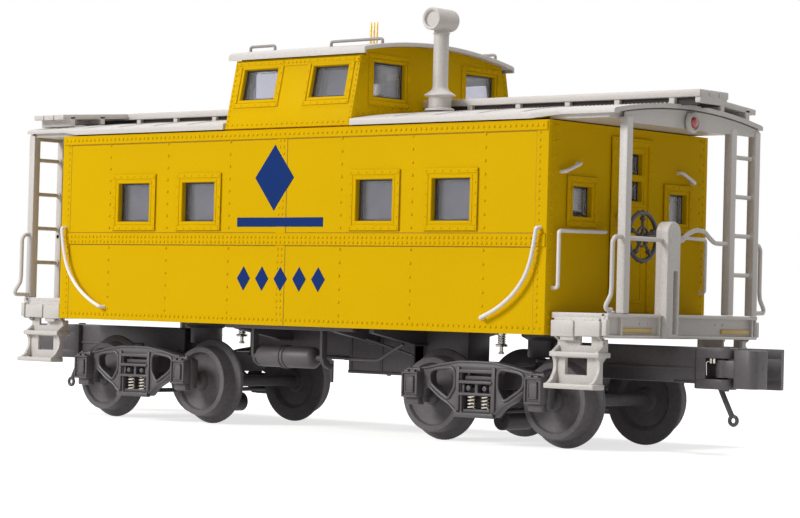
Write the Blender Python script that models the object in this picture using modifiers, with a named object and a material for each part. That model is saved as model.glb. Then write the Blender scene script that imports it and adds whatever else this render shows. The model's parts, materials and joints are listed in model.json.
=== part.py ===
"""O-scale caboose: a four-axle cupola caboose on swivelling trucks, for 31.75 mm gauge track.

X runs along the car, +X towards the near end, +Y to its left, Z up.
The origin is on the floor below the car's middle, at the lowest points of the wheel flanges.
Both ends and both trucks are one design, turned half a turn about Z for the far end.
"""
import math

import bmesh
import bpy
from mathutils import Matrix, Vector

MM = 0.001
GAP = 0.3 * MM
OVERLAP = 0.4 * MM

# Wheels and trucks
TREAD_RADIUS = 8.6 * MM
FLANGE_DEPTH = 1.9 * MM
WHEEL_BACK = 14.3 * MM
WHEEL_FACE = 19.5 * MM
FLANGE_WIDTH = 1.6 * MM
RIM_WIDTH = 1.5 * MM
HUB_RADIUS = 2.3 * MM
AXLE_RADIUS = 1.4 * MM
JOURNAL_RADIUS = 1.0 * MM
WHEEL_DISH = 1.3 * MM
WHEELBASE = 35.2 * MM
TRUCK_CENTRE = 55.2 * MM
SIDE_FRAME_INNER = 22.6 * MM
SIDE_FRAME_WEB = 2.4 * MM
JOURNAL_BOX_FACE = 27.0 * MM
SPRING_RADIUS = 1.15 * MM
SPRING_NEST = (6.9 * MM, 13.8 * MM)

# Body
BODY_LENGTH = 156.1 * MM
BODY_WIDTH = 60.8 * MM
BODY_BOTTOM = 25.1 * MM
BODY_TOP = 71.5 * MM
WALL = 2.0 * MM
STRIP_RAISE = 0.3 * MM
BELT_BOTTOM = 44.1 * MM
BELT_TOP = 46.8 * MM
TOP_STRIP = 2.2 * MM

# Side windows: two pairs, at like distances from the middle
SIDE_WINDOW_PLACES = (28.45 * MM, 51.15 * MM)
SIDE_WINDOW_WIDTH = 11.0 * MM
SIDE_WINDOW_BOTTOM = 49.7 * MM
SIDE_WINDOW_TOP = 59.2 * MM
WINDOW_PLATE_BORDER = 2.2 * MM
PANE = 0.8 * MM
GLAZING_BORDER = 1.5 * MM

# End walls
END_WINDOW_PLACE = 18.3 * MM
END_WINDOW_WIDTH = 6.8 * MM
END_WINDOW_BOTTOM = 51.0 * MM
END_WINDOW_TOP = 57.6 * MM
DOOR_FRAME_WIDTH = 15.6 * MM
DOOR_FRAME_TOP = 69.4 * MM
DOOR_WINDOW_WIDTH = 8.0 * MM
DOOR_LOW_WINDOW = (55.3 * MM, 59.8 * MM)
DOOR_HIGH_WINDOW = (61.3 * MM, 66.0 * MM)

# Roof
ROOF_LENGTH = 188.2 * MM
ROOF_CROWN = 76.3 * MM
ROOF_ARCH_RADIUS = 158.0 * MM
ROOF_SHEET = 1.0 * MM
ROOF_OVERHANG = 0.5 * MM
CANOPY_WIDTH = 57.8 * MM
CANOPY_CEILING = 71.8 * MM
CEILING_INSET = 1.2 * MM
ROOF_TAPER_START = 73.0 * MM
ROOF_TAPER_END = 80.0 * MM

# Cupola
CUPOLA_LENGTH = 41.0 * MM
CUPOLA_TOP_WIDTH = 53.2 * MM
CUPOLA_WALL = 1.8 * MM
CUPOLA_SIDE_TOP = 88.4 * MM
CUPOLA_CROWN = 93.1 * MM
CUPOLA_ARCH_RADIUS = 141.5 * MM
CUPOLA_ROOF_WIDTH = 56.0 * MM
CUPOLA_ROOF_OVERHANG = 2.0 * MM
CUPOLA_DRIP_BOTTOM = 88.6 * MM
CUPOLA_SIDE_WINDOW = (11.65 * MM, 10.0 * MM, 78.8 * MM, 86.1 * MM)
CUPOLA_END_WINDOW = (16.9 * MM, 11.6 * MM, 79.2 * MM, 87.2 * MM)

# Roofwalk
WALK_WIDTH = 11.4 * MM
WALK_TOP = 79.3 * MM
WALK_PLANK = 1.3 * MM
WALK_END = 99.9 * MM
WALK_PLANK_GROOVE = 0.35 * MM
LATERAL_WALK_REACH = 28.1 * MM
LATERAL_WALK_OUTER_TOP = 77.5 * MM
LATERAL_WALK_START = 81.2 * MM
CLEAT = 1.6 * MM

# Platforms
PLATFORM_END = 93.8 * MM
PLATFORM_TOP = 30.1 * MM
PLATFORM_WIDTH = 57.8 * MM
DECK = 1.3 * MM
SILL_BOTTOM = 24.8 * MM
SILL_LIP = 1.0 * MM

# Steps at the platforms' corners
STEP_START = 79.4 * MM
STEP_LENGTH = 12.4 * MM
STEP_CHEEK = 0.9 * MM
STEP_BOTTOM = 13.9 * MM
STEP_TREAD = 1.4 * MM
STEP_HIGH_TREAD = 21.6 * MM
STEP_LOW_FACE = 31.8 * MM
STEP_HIGH_FACE = 30.8 * MM
STEP_BACK = 26.6 * MM

# End frames
POST = 1.6 * MM
POST_PLACE = -22.8 * MM
LADDER_PLACES = (18.4 * MM, 27.0 * MM)
RUNG_HEIGHTS = (39.4 * MM, 48.25 * MM, 57.1 * MM, 66.0 * MM)
RAIL_HEIGHT = 46.3 * MM
RAIL_HUMP = 2.4 * MM
WIRE_RADIUS = 0.45 * MM
FASCIA_BOTTOM = 71.0 * MM

# Brake stand and wheel
STAND_PLACE = -6.5 * MM
STAND_WIDTH = 4.9 * MM
STAND_FRONT = 94.8 * MM
STAND_DEPTH = 3.4 * MM
STAND_TOP = 50.4 * MM
BRAKE_WHEEL_RADIUS = 5.4 * MM
BRAKE_WHEEL_PLACE = 86.2 * MM

# Coupler
SHANK_TOP = 23.2 * MM
SHANK_BOTTOM = 15.4 * MM
SHANK_WIDTH = 6.4 * MM
HEAD_START = 99.4 * MM
HEAD_BOTTOM = 14.3 * MM
KNUCKLE_PIVOT = (106.3 * MM, -3.0 * MM)
KNUCKLE_NOSE = 115.2 * MM
LUG = 2.2 * MM

# Underframe
FLOOR_PLATE = 1.2 * MM
CENTRE_SILL_BOTTOM = 17.0 * MM
TANK_RADIUS = 2.6 * MM
TANK_START = -16.4 * MM
TANK_LENGTH = 18.8 * MM
TANK_PLACE = (-20.0 * MM, 17.6 * MM)

AXLE_HEIGHT = TREAD_RADIUS + FLANGE_DEPTH
FLANGE_RADIUS = AXLE_HEIGHT
HALF_BODY = BODY_LENGTH / 2
HALF_WIDTH = BODY_WIDTH / 2


def clear_scene():
    for item in list(bpy.data.objects):
        bpy.data.objects.remove(item, do_unlink=True)


def new_collection(name):
    collection = bpy.data.collections.new(name)
    bpy.context.scene.collection.children.link(collection)
    return collection


def paint(name, colour, roughness, metallic=0.0, alpha=1.0):
    material = bpy.data.materials.new(name)
    material.use_nodes = True
    shader = material.node_tree.nodes["Principled BSDF"]
    shader.inputs["Base Color"].default_value = (*colour, 1.0)
    shader.inputs["Roughness"].default_value = roughness
    shader.inputs["Metallic"].default_value = metallic
    shader.inputs["Alpha"].default_value = alpha
    return material


def temporary(mesh):
    item = bpy.data.objects.new("shape", mesh)
    bpy.context.scene.collection.objects.link(item)
    return item


def from_bmesh(shape):
    bmesh.ops.recalc_face_normals(shape, faces=shape.faces)
    mesh = bpy.data.meshes.new("shape")
    shape.to_mesh(mesh)
    shape.free()
    return temporary(mesh)


def block(x, y, z):
    """A box between the low and high values of each axis."""
    size = [high - low for low, high in (x, y, z)]
    centre = [(high + low) / 2 for low, high in (x, y, z)]
    shape = bmesh.new()
    bmesh.ops.create_cube(shape, size=1.0)
    bmesh.ops.scale(shape, vec=size, verts=shape.verts)
    bmesh.ops.translate(shape, vec=centre, verts=shape.verts)
    return from_bmesh(shape)


def rod(start, end, radius, sides=12):
    """A round bar from one point to another."""
    start, end = Vector(start), Vector(end)
    along = end - start
    turn = along.to_track_quat("Z", "Y").to_matrix().to_4x4()
    shape = bmesh.new()
    bmesh.ops.create_cone(shape, cap_ends=True, segments=sides, radius1=radius, radius2=radius,
                          depth=along.length, matrix=Matrix.Translation((start + end) / 2) @ turn)
    return from_bmesh(shape)


def mesh_of(item):
    """The object's evaluated mesh in world coordinates, with welded corners; the object goes."""
    graph = bpy.context.evaluated_depsgraph_get()
    mesh = bpy.data.meshes.new_from_object(item.evaluated_get(graph))
    mesh.transform(item.matrix_world)
    shape = bmesh.new()
    shape.from_mesh(mesh)
    bmesh.ops.remove_doubles(shape, verts=shape.verts, dist=1e-6)
    bpy.data.objects.remove(item, do_unlink=True)
    return from_bmesh(shape)


def tube(points, radius, bevel_resolution=1):
    """A wire or pipe through the points, with filled ends."""
    curve = bpy.data.curves.new("wire", "CURVE")
    curve.dimensions = "3D"
    curve.bevel_depth = radius
    curve.bevel_resolution = bevel_resolution
    curve.use_fill_caps = True
    spline = curve.splines.new("POLY")
    spline.points.add(len(points) - 1)
    for corner, place in zip(spline.points, points):
        corner.co = (*place, 1.0)
    item = temporary(curve)
    bpy.context.view_layer.update()
    return mesh_of(item)


PLANES = {
    "X": Matrix(((0, 0, 1, 0), (1, 0, 0, 0), (0, 1, 0, 0), (0, 0, 0, 1))),
    "Y": Matrix(((1, 0, 0, 0), (0, 0, -1, 0), (0, 1, 0, 0), (0, 0, 0, 1))),
    "Z": Matrix.Identity(4),
}


def plate(outlines, axis, low, high):
    """Flat outlines, holes included, extruded along an axis between two places.

    An outline's points are (Y, Z) for the X axis, (X, Z) for Y and (X, Y) for Z.
    """
    curve = bpy.data.curves.new("outline", "CURVE")
    curve.dimensions = "2D"
    curve.fill_mode = "BOTH"
    curve.extrude = (high - low) / 2
    for outline in outlines:
        spline = curve.splines.new("POLY")
        spline.points.add(len(outline) - 1)
        for corner, (across, up) in zip(spline.points, outline):
            corner.co = (across, up, 0.0, 1.0)
        spline.use_cyclic_u = True
    item = temporary(curve)
    middle = (high + low) / 2
    shift = {"X": (middle, 0, 0), "Y": (0, middle, 0), "Z": (0, 0, middle)}[axis]
    item.matrix_world = Matrix.Translation(shift) @ PLANES[axis]
    bpy.context.view_layer.update()
    return mesh_of(item)


def turned(profile, axis, centre, sides):
    """A closed solid turned about an axis from (radius, place along the axis) points."""
    mesh = bpy.data.meshes.new("profile")
    points = [(radius, 0.0, place) for radius, place in profile]
    edges = [(i, i + 1) for i in range(len(points) - 1)]
    mesh.from_pydata(points, edges, [])
    item = temporary(mesh)
    screw = item.modifiers.new("turn", "SCREW")
    screw.steps = sides
    screw.render_steps = sides
    screw.use_merge_vertices = True
    screw.merge_threshold = 1e-6
    turn = {"Z": Matrix.Identity(4), "Y": Matrix.Rotation(-math.pi / 2, 4, "X"),
            "X": Matrix.Rotation(math.pi / 2, 4, "Y")}[axis]
    item.matrix_world = Matrix.Translation(centre) @ turn
    bpy.context.view_layer.update()
    return mesh_of(item)


def combine(base, others, operation):
    """The base joined with, or cut by, the other shapes, one after another."""
    for other in others:
        change = base.modifiers.new(operation.lower(), "BOOLEAN")
        change.operation = operation
        change.solver = "EXACT"
        change.object = other
    bpy.context.view_layer.update()
    result = mesh_of(base)
    for other in others:
        bpy.data.objects.remove(other, do_unlink=True)
    return result


def join(base, *others):
    return combine(base, others, "UNION")


def cut(base, *others):
    return combine(base, others, "DIFFERENCE")


def mirrored(item, axis):
    """A copy of the shape on the other side of the car's middle."""
    shape = bmesh.new()
    shape.from_mesh(item.data)
    factor = [-1.0 if name == axis else 1.0 for name in "XYZ"]
    bmesh.ops.scale(shape, vec=factor, verts=shape.verts)
    return from_bmesh(shape)


def finish(item, name, material, parent=None, origin=(0, 0, 0), smooth=False):
    """Name the shape, give it its material and its origin, and hang it on its parent."""
    mesh = item.data
    mesh.transform(Matrix.Translation(-Vector(origin)))
    mesh.name = name
    mesh.materials.clear()
    mesh.materials.append(material)
    if smooth:
        mesh.shade_smooth()
        mesh.set_sharp_from_angle(angle=math.radians(35))
    item.name = name
    item.location = origin
    item.parent = parent
    bpy.context.scene.collection.objects.unlink(item)
    PARTS.objects.link(item)
    return item


def copy_of(item, name, parent):
    twin = bpy.data.objects.new(name, item.data)
    twin.location = item.location
    twin.parent = parent
    PARTS.objects.link(twin)
    return twin


def arch_height(crown, radius, y):
    """The height of a round arch at a distance from the car's middle."""
    return crown - radius + math.sqrt(radius * radius - y * y)


def arch(crown, radius, half_width, steps=10):
    """Points along an arch, from -Y to +Y."""
    places = [half_width * (2 * i / steps - 1) for i in range(steps + 1)]
    return [(y, arch_height(crown, radius, y)) for y in places]


clear_scene()
PARTS = new_collection("caboose")
YELLOW = paint("yellow_paint", (0.72, 0.45, 0.012), 0.42)
SILVER = paint("silver_grey_paint", (0.60, 0.58, 0.56), 0.45)
BLACK = paint("black_casting", (0.045, 0.043, 0.046), 0.5, 0.3)
STEEL = paint("wheel_steel", (0.10, 0.10, 0.105), 0.4, 0.8)
WIRE = paint("white_wire", (0.72, 0.70, 0.70), 0.4)
BRIGHT = paint("bright_steel", (0.62, 0.60, 0.57), 0.3, 1.0)
BRASS = paint("brass", (0.75, 0.52, 0.22), 0.3, 1.0)
GLASS = paint("clear_plastic", (0.75, 0.75, 0.80), 0.1, 0.0, 0.35)
RED = paint("red_lens", (0.45, 0.02, 0.015), 0.15)


def new_empty(name, place, turn):
    item = bpy.data.objects.new(name, None)
    item.location = place
    item.rotation_euler.z = turn
    PARTS.objects.link(item)
    return item


ENDS = {"near": new_empty("end_near", (0, 0, 0), 0.0), "far": new_empty("end_far", (0, 0, 0), math.pi)}
TRUCKS = {"near": new_empty("truck_near", (TRUCK_CENTRE, 0, 0), 0.0),
          "far": new_empty("truck_far", (-TRUCK_CENTRE, 0, 0), math.pi)}


def both(item, name, material, parents, origin=(0, 0, 0), smooth=False):
    """The piece at the near end or truck, and its twin at the far one."""
    finish(item, f"{name}_near", material, parents["near"], origin, smooth)
    copy_of(item, f"{name}_far", parents["far"])


def window_places(places):
    return [side * place for place in places for side in (-1, 1)]


def body_shell():
    """The hollow body, open below and above, with its rivet strips, belt and window plates."""
    shell = block((-HALF_BODY, HALF_BODY), (-HALF_WIDTH, HALF_WIDTH), (BODY_BOTTOM, BODY_TOP))
    inner = (HALF_BODY - WALL, HALF_WIDTH - WALL)
    strips = []
    for side in (-1, 1):
        outer = side * (HALF_WIDTH + STRIP_RAISE)
        root = side * (HALF_WIDTH - OVERLAP)
        y = tuple(sorted((root, outer)))
        strips.append(block((-HALF_BODY + GAP, HALF_BODY - GAP), y, (BELT_BOTTOM, BELT_TOP)))
        strips.append(block((-HALF_BODY + GAP, HALF_BODY - GAP), y, (BODY_TOP - TOP_STRIP, BODY_TOP - GAP)))
        for x in window_places(SIDE_WINDOW_PLACES):
            half = SIDE_WINDOW_WIDTH / 2 + WINDOW_PLATE_BORDER
            strips.append(block((x - half, x + half), y,
                                (SIDE_WINDOW_BOTTOM - WINDOW_PLATE_BORDER,
                                 SIDE_WINDOW_TOP + WINDOW_PLATE_BORDER)))
    for end in (-1, 1):
        x = tuple(sorted((end * (HALF_BODY - OVERLAP), end * (HALF_BODY + STRIP_RAISE))))
        half = DOOR_FRAME_WIDTH / 2
        strips.append(block(x, (-half, half), (PLATFORM_TOP + GAP, DOOR_FRAME_TOP)))
        for side in (-1, 1):
            half = END_WINDOW_WIDTH / 2 + WINDOW_PLATE_BORDER
            y = side * END_WINDOW_PLACE
            strips.append(block(x, (y - half, y + half), (END_WINDOW_BOTTOM - WINDOW_PLATE_BORDER,
                                                          END_WINDOW_TOP + WINDOW_PLATE_BORDER)))
    shell = join(shell, *strips)
    far = HALF_WIDTH * 2
    cuts = [block((-inner[0], inner[0]), (-inner[1], inner[1]), (BODY_BOTTOM - WALL, BODY_TOP + WALL))]
    for x in window_places(SIDE_WINDOW_PLACES):
        half = SIDE_WINDOW_WIDTH / 2
        cuts.append(block((x - half, x + half), (-far, far), (SIDE_WINDOW_BOTTOM, SIDE_WINDOW_TOP)))
    for side in (-1, 1):
        half = END_WINDOW_WIDTH / 2
        y = side * END_WINDOW_PLACE
        cuts.append(block((-BODY_LENGTH, BODY_LENGTH), (y - half, y + half),
                          (END_WINDOW_BOTTOM, END_WINDOW_TOP)))
    for window in (DOOR_LOW_WINDOW, DOOR_HIGH_WINDOW):
        half = DOOR_WINDOW_WIDTH / 2
        cuts.append(block((-BODY_LENGTH, BODY_LENGTH), (-half, half), window))
    return cut(shell, *cuts)


def side_glazing():
    """The clear strip behind the -Y wall's windows."""
    outer = -(HALF_WIDTH - WALL - GAP)
    reach = max(SIDE_WINDOW_PLACES) + SIDE_WINDOW_WIDTH / 2 + GLAZING_BORDER
    return block((-reach, reach), (outer, outer + PANE),
                 (SIDE_WINDOW_BOTTOM - GLAZING_BORDER, SIDE_WINDOW_TOP + GLAZING_BORDER))


def end_glazing():
    """The clear sheet behind the near end's windows and the door's two lights."""
    outer = HALF_BODY - WALL - GAP
    x = (outer - PANE, outer)
    reach = END_WINDOW_PLACE + END_WINDOW_WIDTH / 2 + GLAZING_BORDER
    windows = block(x, (-reach, reach), (END_WINDOW_BOTTOM - GLAZING_BORDER, END_WINDOW_TOP + GLAZING_BORDER))
    half = DOOR_WINDOW_WIDTH / 2 + GLAZING_BORDER
    door = block(x, (-half, half), (END_WINDOW_BOTTOM, DOOR_HIGH_WINDOW[1] + GLAZING_BORDER))
    return join(windows, door)


def roof_section(half, low):
    """The roof sheet's cross section: its arch, and a rim down to a height along each eave."""
    rim = half - WALL
    under = arch(ROOF_CROWN - ROOF_SHEET, ROOF_ARCH_RADIUS - ROOF_SHEET, rim - GAP)
    return (arch(ROOF_CROWN, ROOF_ARCH_RADIUS, half) + [(half, low), (rim, low)]
            + under[::-1] + [(-rim, low), (-half, low)])


def loft(sections):
    """A solid through like outlines of (Y, Z) points, each at its place along X."""
    shape = bmesh.new()
    rings = [[shape.verts.new((x, y, z)) for y, z in outline] for x, outline in sections]
    count = len(rings[0])
    for ring, following in zip(rings, rings[1:]):
        for i in range(count):
            after = (i + 1) % count
            shape.faces.new((ring[i], ring[after], following[after], following[i]))
    for ring in (rings[0], rings[-1]):
        shape.faces.new(ring)
    bmesh.ops.triangulate(shape, faces=shape.faces)
    return from_bmesh(shape)


def roof_half():
    """The near half of the roof: an arched sheet with a rim on the walls, and the canopy's ceiling."""
    wide = HALF_WIDTH + ROOF_OVERHANG
    narrow = CANOPY_WIDTH / 2
    bottom = BODY_TOP + GAP
    inner = ROOF_ARCH_RADIUS - ROOF_SHEET
    edge = arch_height(ROOF_CROWN - ROOF_SHEET, inner, narrow)
    sheet = loft([(CUPOLA_LENGTH / 2 + GAP, roof_section(wide, bottom)),
                  (ROOF_TAPER_START, roof_section(wide, bottom)),
                  (ROOF_TAPER_END, roof_section(narrow, edge)),
                  (ROOF_LENGTH / 2, roof_section(narrow, edge))])
    ceiling_half = narrow - CEILING_INSET
    ceiling = ([(-ceiling_half, CANOPY_CEILING), (ceiling_half, CANOPY_CEILING)]
               + arch(ROOF_CROWN - ROOF_SHEET + OVERLAP, inner, ceiling_half)[::-1])
    return join(sheet, plate([ceiling], "X", HALF_BODY - WALL, PLATFORM_END - POST - GAP))


def roofwalk():
    """Three planks on cleats along the crown, and the board down to the ladder."""
    start = CUPOLA_LENGTH / 2 + 1.0 * MM
    half = WALK_WIDTH / 2
    planks = block((start, WALK_END), (-half, half), (WALK_TOP - WALK_PLANK, WALK_TOP))
    seat = ROOF_CROWN + GAP
    cleats = []
    count = 7
    last = ROOF_LENGTH / 2 - 1.2 * MM
    for i in range(count):
        x = start + 2.0 * MM + (last - start - 2.0 * MM) * i / (count - 1)
        cleats.append(block((x - CLEAT / 2, x + CLEAT / 2), (-half + 0.6 * MM, half - 0.6 * MM),
                            (seat, WALK_TOP - OVERLAP)))
    cleats.append(block((WALK_END - CLEAT, WALK_END), (-half, half), (seat + 0.4 * MM, WALK_TOP - OVERLAP)))
    inner, outer = half - OVERLAP, LATERAL_WALK_REACH
    drop = WALK_TOP - LATERAL_WALK_OUTER_TOP
    board = [(inner, WALK_TOP - GAP), (outer, LATERAL_WALK_OUTER_TOP),
             (outer, LATERAL_WALK_OUTER_TOP - WALK_PLANK), (inner, WALK_TOP - WALK_PLANK)]
    x = (LATERAL_WALK_START, LATERAL_WALK_START + WALK_WIDTH)
    lateral = plate([board], "X", *x)
    for share in (0.4, 0.85):
        y = inner + (outer - inner) * share
        top = WALK_TOP - drop * share - OVERLAP
        cleats.append(block(x, (y - CLEAT / 2, y + CLEAT / 2),
                            (arch_height(ROOF_CROWN, ROOF_ARCH_RADIUS, y - CLEAT / 2) + GAP, top)))
    walk = join(planks, lateral, *cleats)
    grooves = []
    for side in (-1, 1):
        y = side * WALK_WIDTH / 6
        grooves.append(block((start - OVERLAP, WALK_END + OVERLAP),
                             (y - WALK_PLANK_GROOVE / 2, y + WALK_PLANK_GROOVE / 2),
                             (WALK_TOP - WALK_PLANK_GROOVE, WALK_TOP + OVERLAP)))
    return cut(walk, *grooves)


def cupola_shell():
    """The cupola's four walls: sides that lean in, and ends that follow its arched roof."""
    half = CUPOLA_LENGTH / 2
    bottom = BODY_TOP + GAP
    foot, head = HALF_WIDTH, CUPOLA_TOP_WIDTH / 2
    under = CUPOLA_CROWN - ROOF_SHEET - GAP
    radius = CUPOLA_ARCH_RADIUS - ROOF_SHEET - GAP
    outline = [(-foot, bottom), (foot, bottom)] + arch(under, radius, head)[::-1]
    walls = plate([outline], "X", -half, half)
    lean = (foot - head) / (CUPOLA_SIDE_TOP - bottom)
    high = CUPOLA_CROWN + WALL
    low = bottom - WALL
    inner = [(-(foot - CUPOLA_WALL) - lean * (bottom - low), low),
             (foot - CUPOLA_WALL + lean * (bottom - low), low),
             (foot - CUPOLA_WALL - lean * (high - bottom), high),
             (-(foot - CUPOLA_WALL) + lean * (high - bottom), high)]
    cuts = [plate([inner], "X", -half + CUPOLA_WALL, half - CUPOLA_WALL)]
    place, width, low, high = CUPOLA_SIDE_WINDOW
    for x in (-place, place):
        cuts.append(block((x - width / 2, x + width / 2), (-BODY_WIDTH, BODY_WIDTH), (low, high)))
    place, width, low, high = CUPOLA_END_WINDOW
    for y in (-place, place):
        cuts.append(block((-BODY_LENGTH, BODY_LENGTH), (y - width / 2, y + width / 2), (low, high)))
    return cut(walls, *cuts)


def cupola_side_y(z):
    """The distance of the cupola's leaning side wall from the car's middle, at a height."""
    bottom = BODY_TOP + GAP
    head = CUPOLA_TOP_WIDTH / 2
    return HALF_WIDTH - (HALF_WIDTH - head) * (z - bottom) / (CUPOLA_SIDE_TOP - bottom)


def cupola_glazing():
    """The clear liner that stands behind all of the cupola's windows."""
    low = CUPOLA_SIDE_WINDOW[2] - GLAZING_BORDER
    high = CUPOLA_SIDE_TOP - GAP
    walls = []
    for inset, spare in ((CUPOLA_WALL + GAP, 0.0), (CUPOLA_WALL + GAP + PANE, WALL)):
        foot, head = cupola_side_y(low - spare) - inset, cupola_side_y(high + spare) - inset
        outline = [(-foot, low - spare), (foot, low - spare), (head, high + spare), (-head, high + spare)]
        reach = CUPOLA_LENGTH / 2 - inset
        walls.append(plate([outline], "X", -reach, reach))
    return cut(walls[0], walls[1])


def cupola_roof():
    """The arched cupola roof with a drip edge turned down along both eaves."""
    half = CUPOLA_ROOF_WIDTH / 2
    lip = 0.9 * MM
    top = arch(CUPOLA_CROWN, CUPOLA_ARCH_RADIUS, half)
    under = arch(CUPOLA_CROWN - ROOF_SHEET, CUPOLA_ARCH_RADIUS - ROOF_SHEET, half - lip)
    outline = top + [(half, CUPOLA_DRIP_BOTTOM), (half - lip, CUPOLA_DRIP_BOTTOM)]
    outline += under[::-1] + [(-half + lip, CUPOLA_DRIP_BOTTOM), (-half, CUPOLA_DRIP_BOTTOM)]
    reach = CUPOLA_LENGTH / 2 + CUPOLA_ROOF_OVERHANG
    return plate([outline], "X", -reach, reach)


def smoke_jack():
    """The stove's smoke jack: base, skirt, pipe and an open cross-laid hood."""
    x, y = 29.5 * MM, -10.0 * MM
    base_radius, pipe_radius = 2.7 * MM, 1.7 * MM
    base_top, skirt_top = 79.7 * MM, 81.4 * MM
    hood_radius, hood_wall, hood_length, hood_height = 2.65 * MM, 0.55 * MM, 8.0 * MM, 97.7 * MM
    seat = arch_height(ROOF_CROWN, ROOF_ARCH_RADIUS, abs(y) - base_radius) + GAP
    profile = [(0, hood_height - hood_wall), (pipe_radius, hood_height - hood_wall),
               (pipe_radius, skirt_top), (base_radius + 1.0 * MM, base_top),
               (base_radius, base_top - 0.1 * MM), (base_radius, seat), (0, seat)]
    pipe = turned(profile, "Z", (x, y, 0), 12)
    hood = rod((x, y - hood_length / 2, hood_height), (x, y + hood_length / 2, hood_height), hood_radius, 16)
    bore = rod((x, y - hood_length, hood_height), (x, y + hood_length, hood_height),
               hood_radius - hood_wall, 16)
    hood = cut(hood, bore)
    return join(hood, pipe)


def cupola_grab_rail(start, end):
    """A bent grab rail along the -Y eave of the cupola's roof."""
    y = -21.0 * MM
    seat = arch_height(CUPOLA_CROWN, CUPOLA_ARCH_RADIUS, -y - WIRE_RADIUS) + GAP
    top = seat + 1.6 * MM
    return tube([(start, y, seat), (start, y, top), (end, y, top), (end, y, seat)], WIRE_RADIUS)


def roof_pins():
    """Three slim pins standing in a small block on the cupola's crown."""
    seat = CUPOLA_CROWN + GAP
    y = 0.0
    foot = block((-2.6 * MM, 2.6 * MM), (y - 1.0 * MM, y + 1.0 * MM), (seat, seat + 1.0 * MM))
    pins = [rod((x, y, seat + 1.0 * MM - OVERLAP), (x, y, 99.7 * MM), 0.22 * MM, 8)
            for x in (-1.8 * MM, 0.0, 1.8 * MM)]
    return join(foot, *pins)


def platform():
    """The near platform: deck, end sill with a lip along its top and bottom, and both steps."""
    half = PLATFORM_WIDTH / 2
    web = (PLATFORM_END - SILL_LIP - 0.9 * MM, PLATFORM_END - SILL_LIP)
    deck = block((HALF_BODY + STRIP_RAISE + GAP, web[0] + OVERLAP / 2), (-half, half),
                 (PLATFORM_TOP - DECK, PLATFORM_TOP))
    sill = block(web, (-half, half), (SILL_BOTTOM, PLATFORM_TOP - OVERLAP))
    top_lip = block((web[0] + OVERLAP, PLATFORM_END), (-half, half), (PLATFORM_TOP - 0.7 * MM, PLATFORM_TOP))
    low_lip = block((web[0] + OVERLAP, PLATFORM_END), (-half, half), (SILL_BOTTOM, SILL_BOTTOM + 0.6 * MM))
    stand_half = STAND_WIDTH / 2 + GAP
    notch = block((STAND_FRONT - STAND_DEPTH - GAP, PLATFORM_END + WALL),
                  (STAND_PLACE - stand_half, STAND_PLACE + stand_half),
                  (SILL_BOTTOM - WALL, PLATFORM_TOP + WALL))
    right = steps()
    left = mirrored(right, "Y")
    return cut(join(deck, sill, top_lip, low_lip, right, left), notch)


def steps():
    """One platform step unit on the -Y side: apron, two treads, a pierced riser and cheeks."""
    start, end = STEP_START, STEP_START + STEP_LENGTH
    lip = 0.25 * MM
    inside = (start + lip, end - lip)
    outside = (start - lip, end + lip)
    face = PLATFORM_WIDTH / 2 + 0.7 * MM
    hang = SILL_BOTTOM - GAP
    low_top = STEP_BOTTOM + STEP_TREAD
    high_low, high_top = STEP_HIGH_TREAD - STEP_TREAD, STEP_HIGH_TREAD
    apron = block(inside, (-face, -face + 1.2 * MM), (high_top - lip, PLATFORM_TOP + GAP))
    high_tread = block(outside, (-STEP_HIGH_FACE, -STEP_BACK), (high_low, high_top))
    riser = block(inside, (-STEP_HIGH_FACE + 2 * lip, -STEP_HIGH_FACE + 1.3 * MM), (low_top - lip, high_low + lip))
    low_tread = block(outside, (-STEP_LOW_FACE, -STEP_BACK), (STEP_BOTTOM, low_top))
    low, high = STEP_LOW_FACE - lip, STEP_HIGH_FACE - lip
    scallop = [(-low, STEP_BOTTOM + lip), (-low, low_top), (-high + 0.7 * MM, low_top + 2.2 * MM),
               (-high + 0.7 * MM, high_low - 1.8 * MM), (-high, high_low), (-high, high_top),
               (-face + lip, high_top + 1.2 * MM), (-face + lip, hang),
               (-STEP_BACK - lip, hang), (-STEP_BACK - lip, STEP_BOTTOM + lip)]
    cheeks = [plate([scallop], "X", place, place + STEP_CHEEK) for place in (start, end - STEP_CHEEK)]
    hole = block((start + 4.2 * MM, end - 2.6 * MM), (-BODY_WIDTH, -STEP_BACK + WALL),
                 (low_top + 1.6 * MM, high_low - 0.2 * MM))
    return join(apron, high_tread, cut(riser, hole), low_tread, *cheeks)


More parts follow.
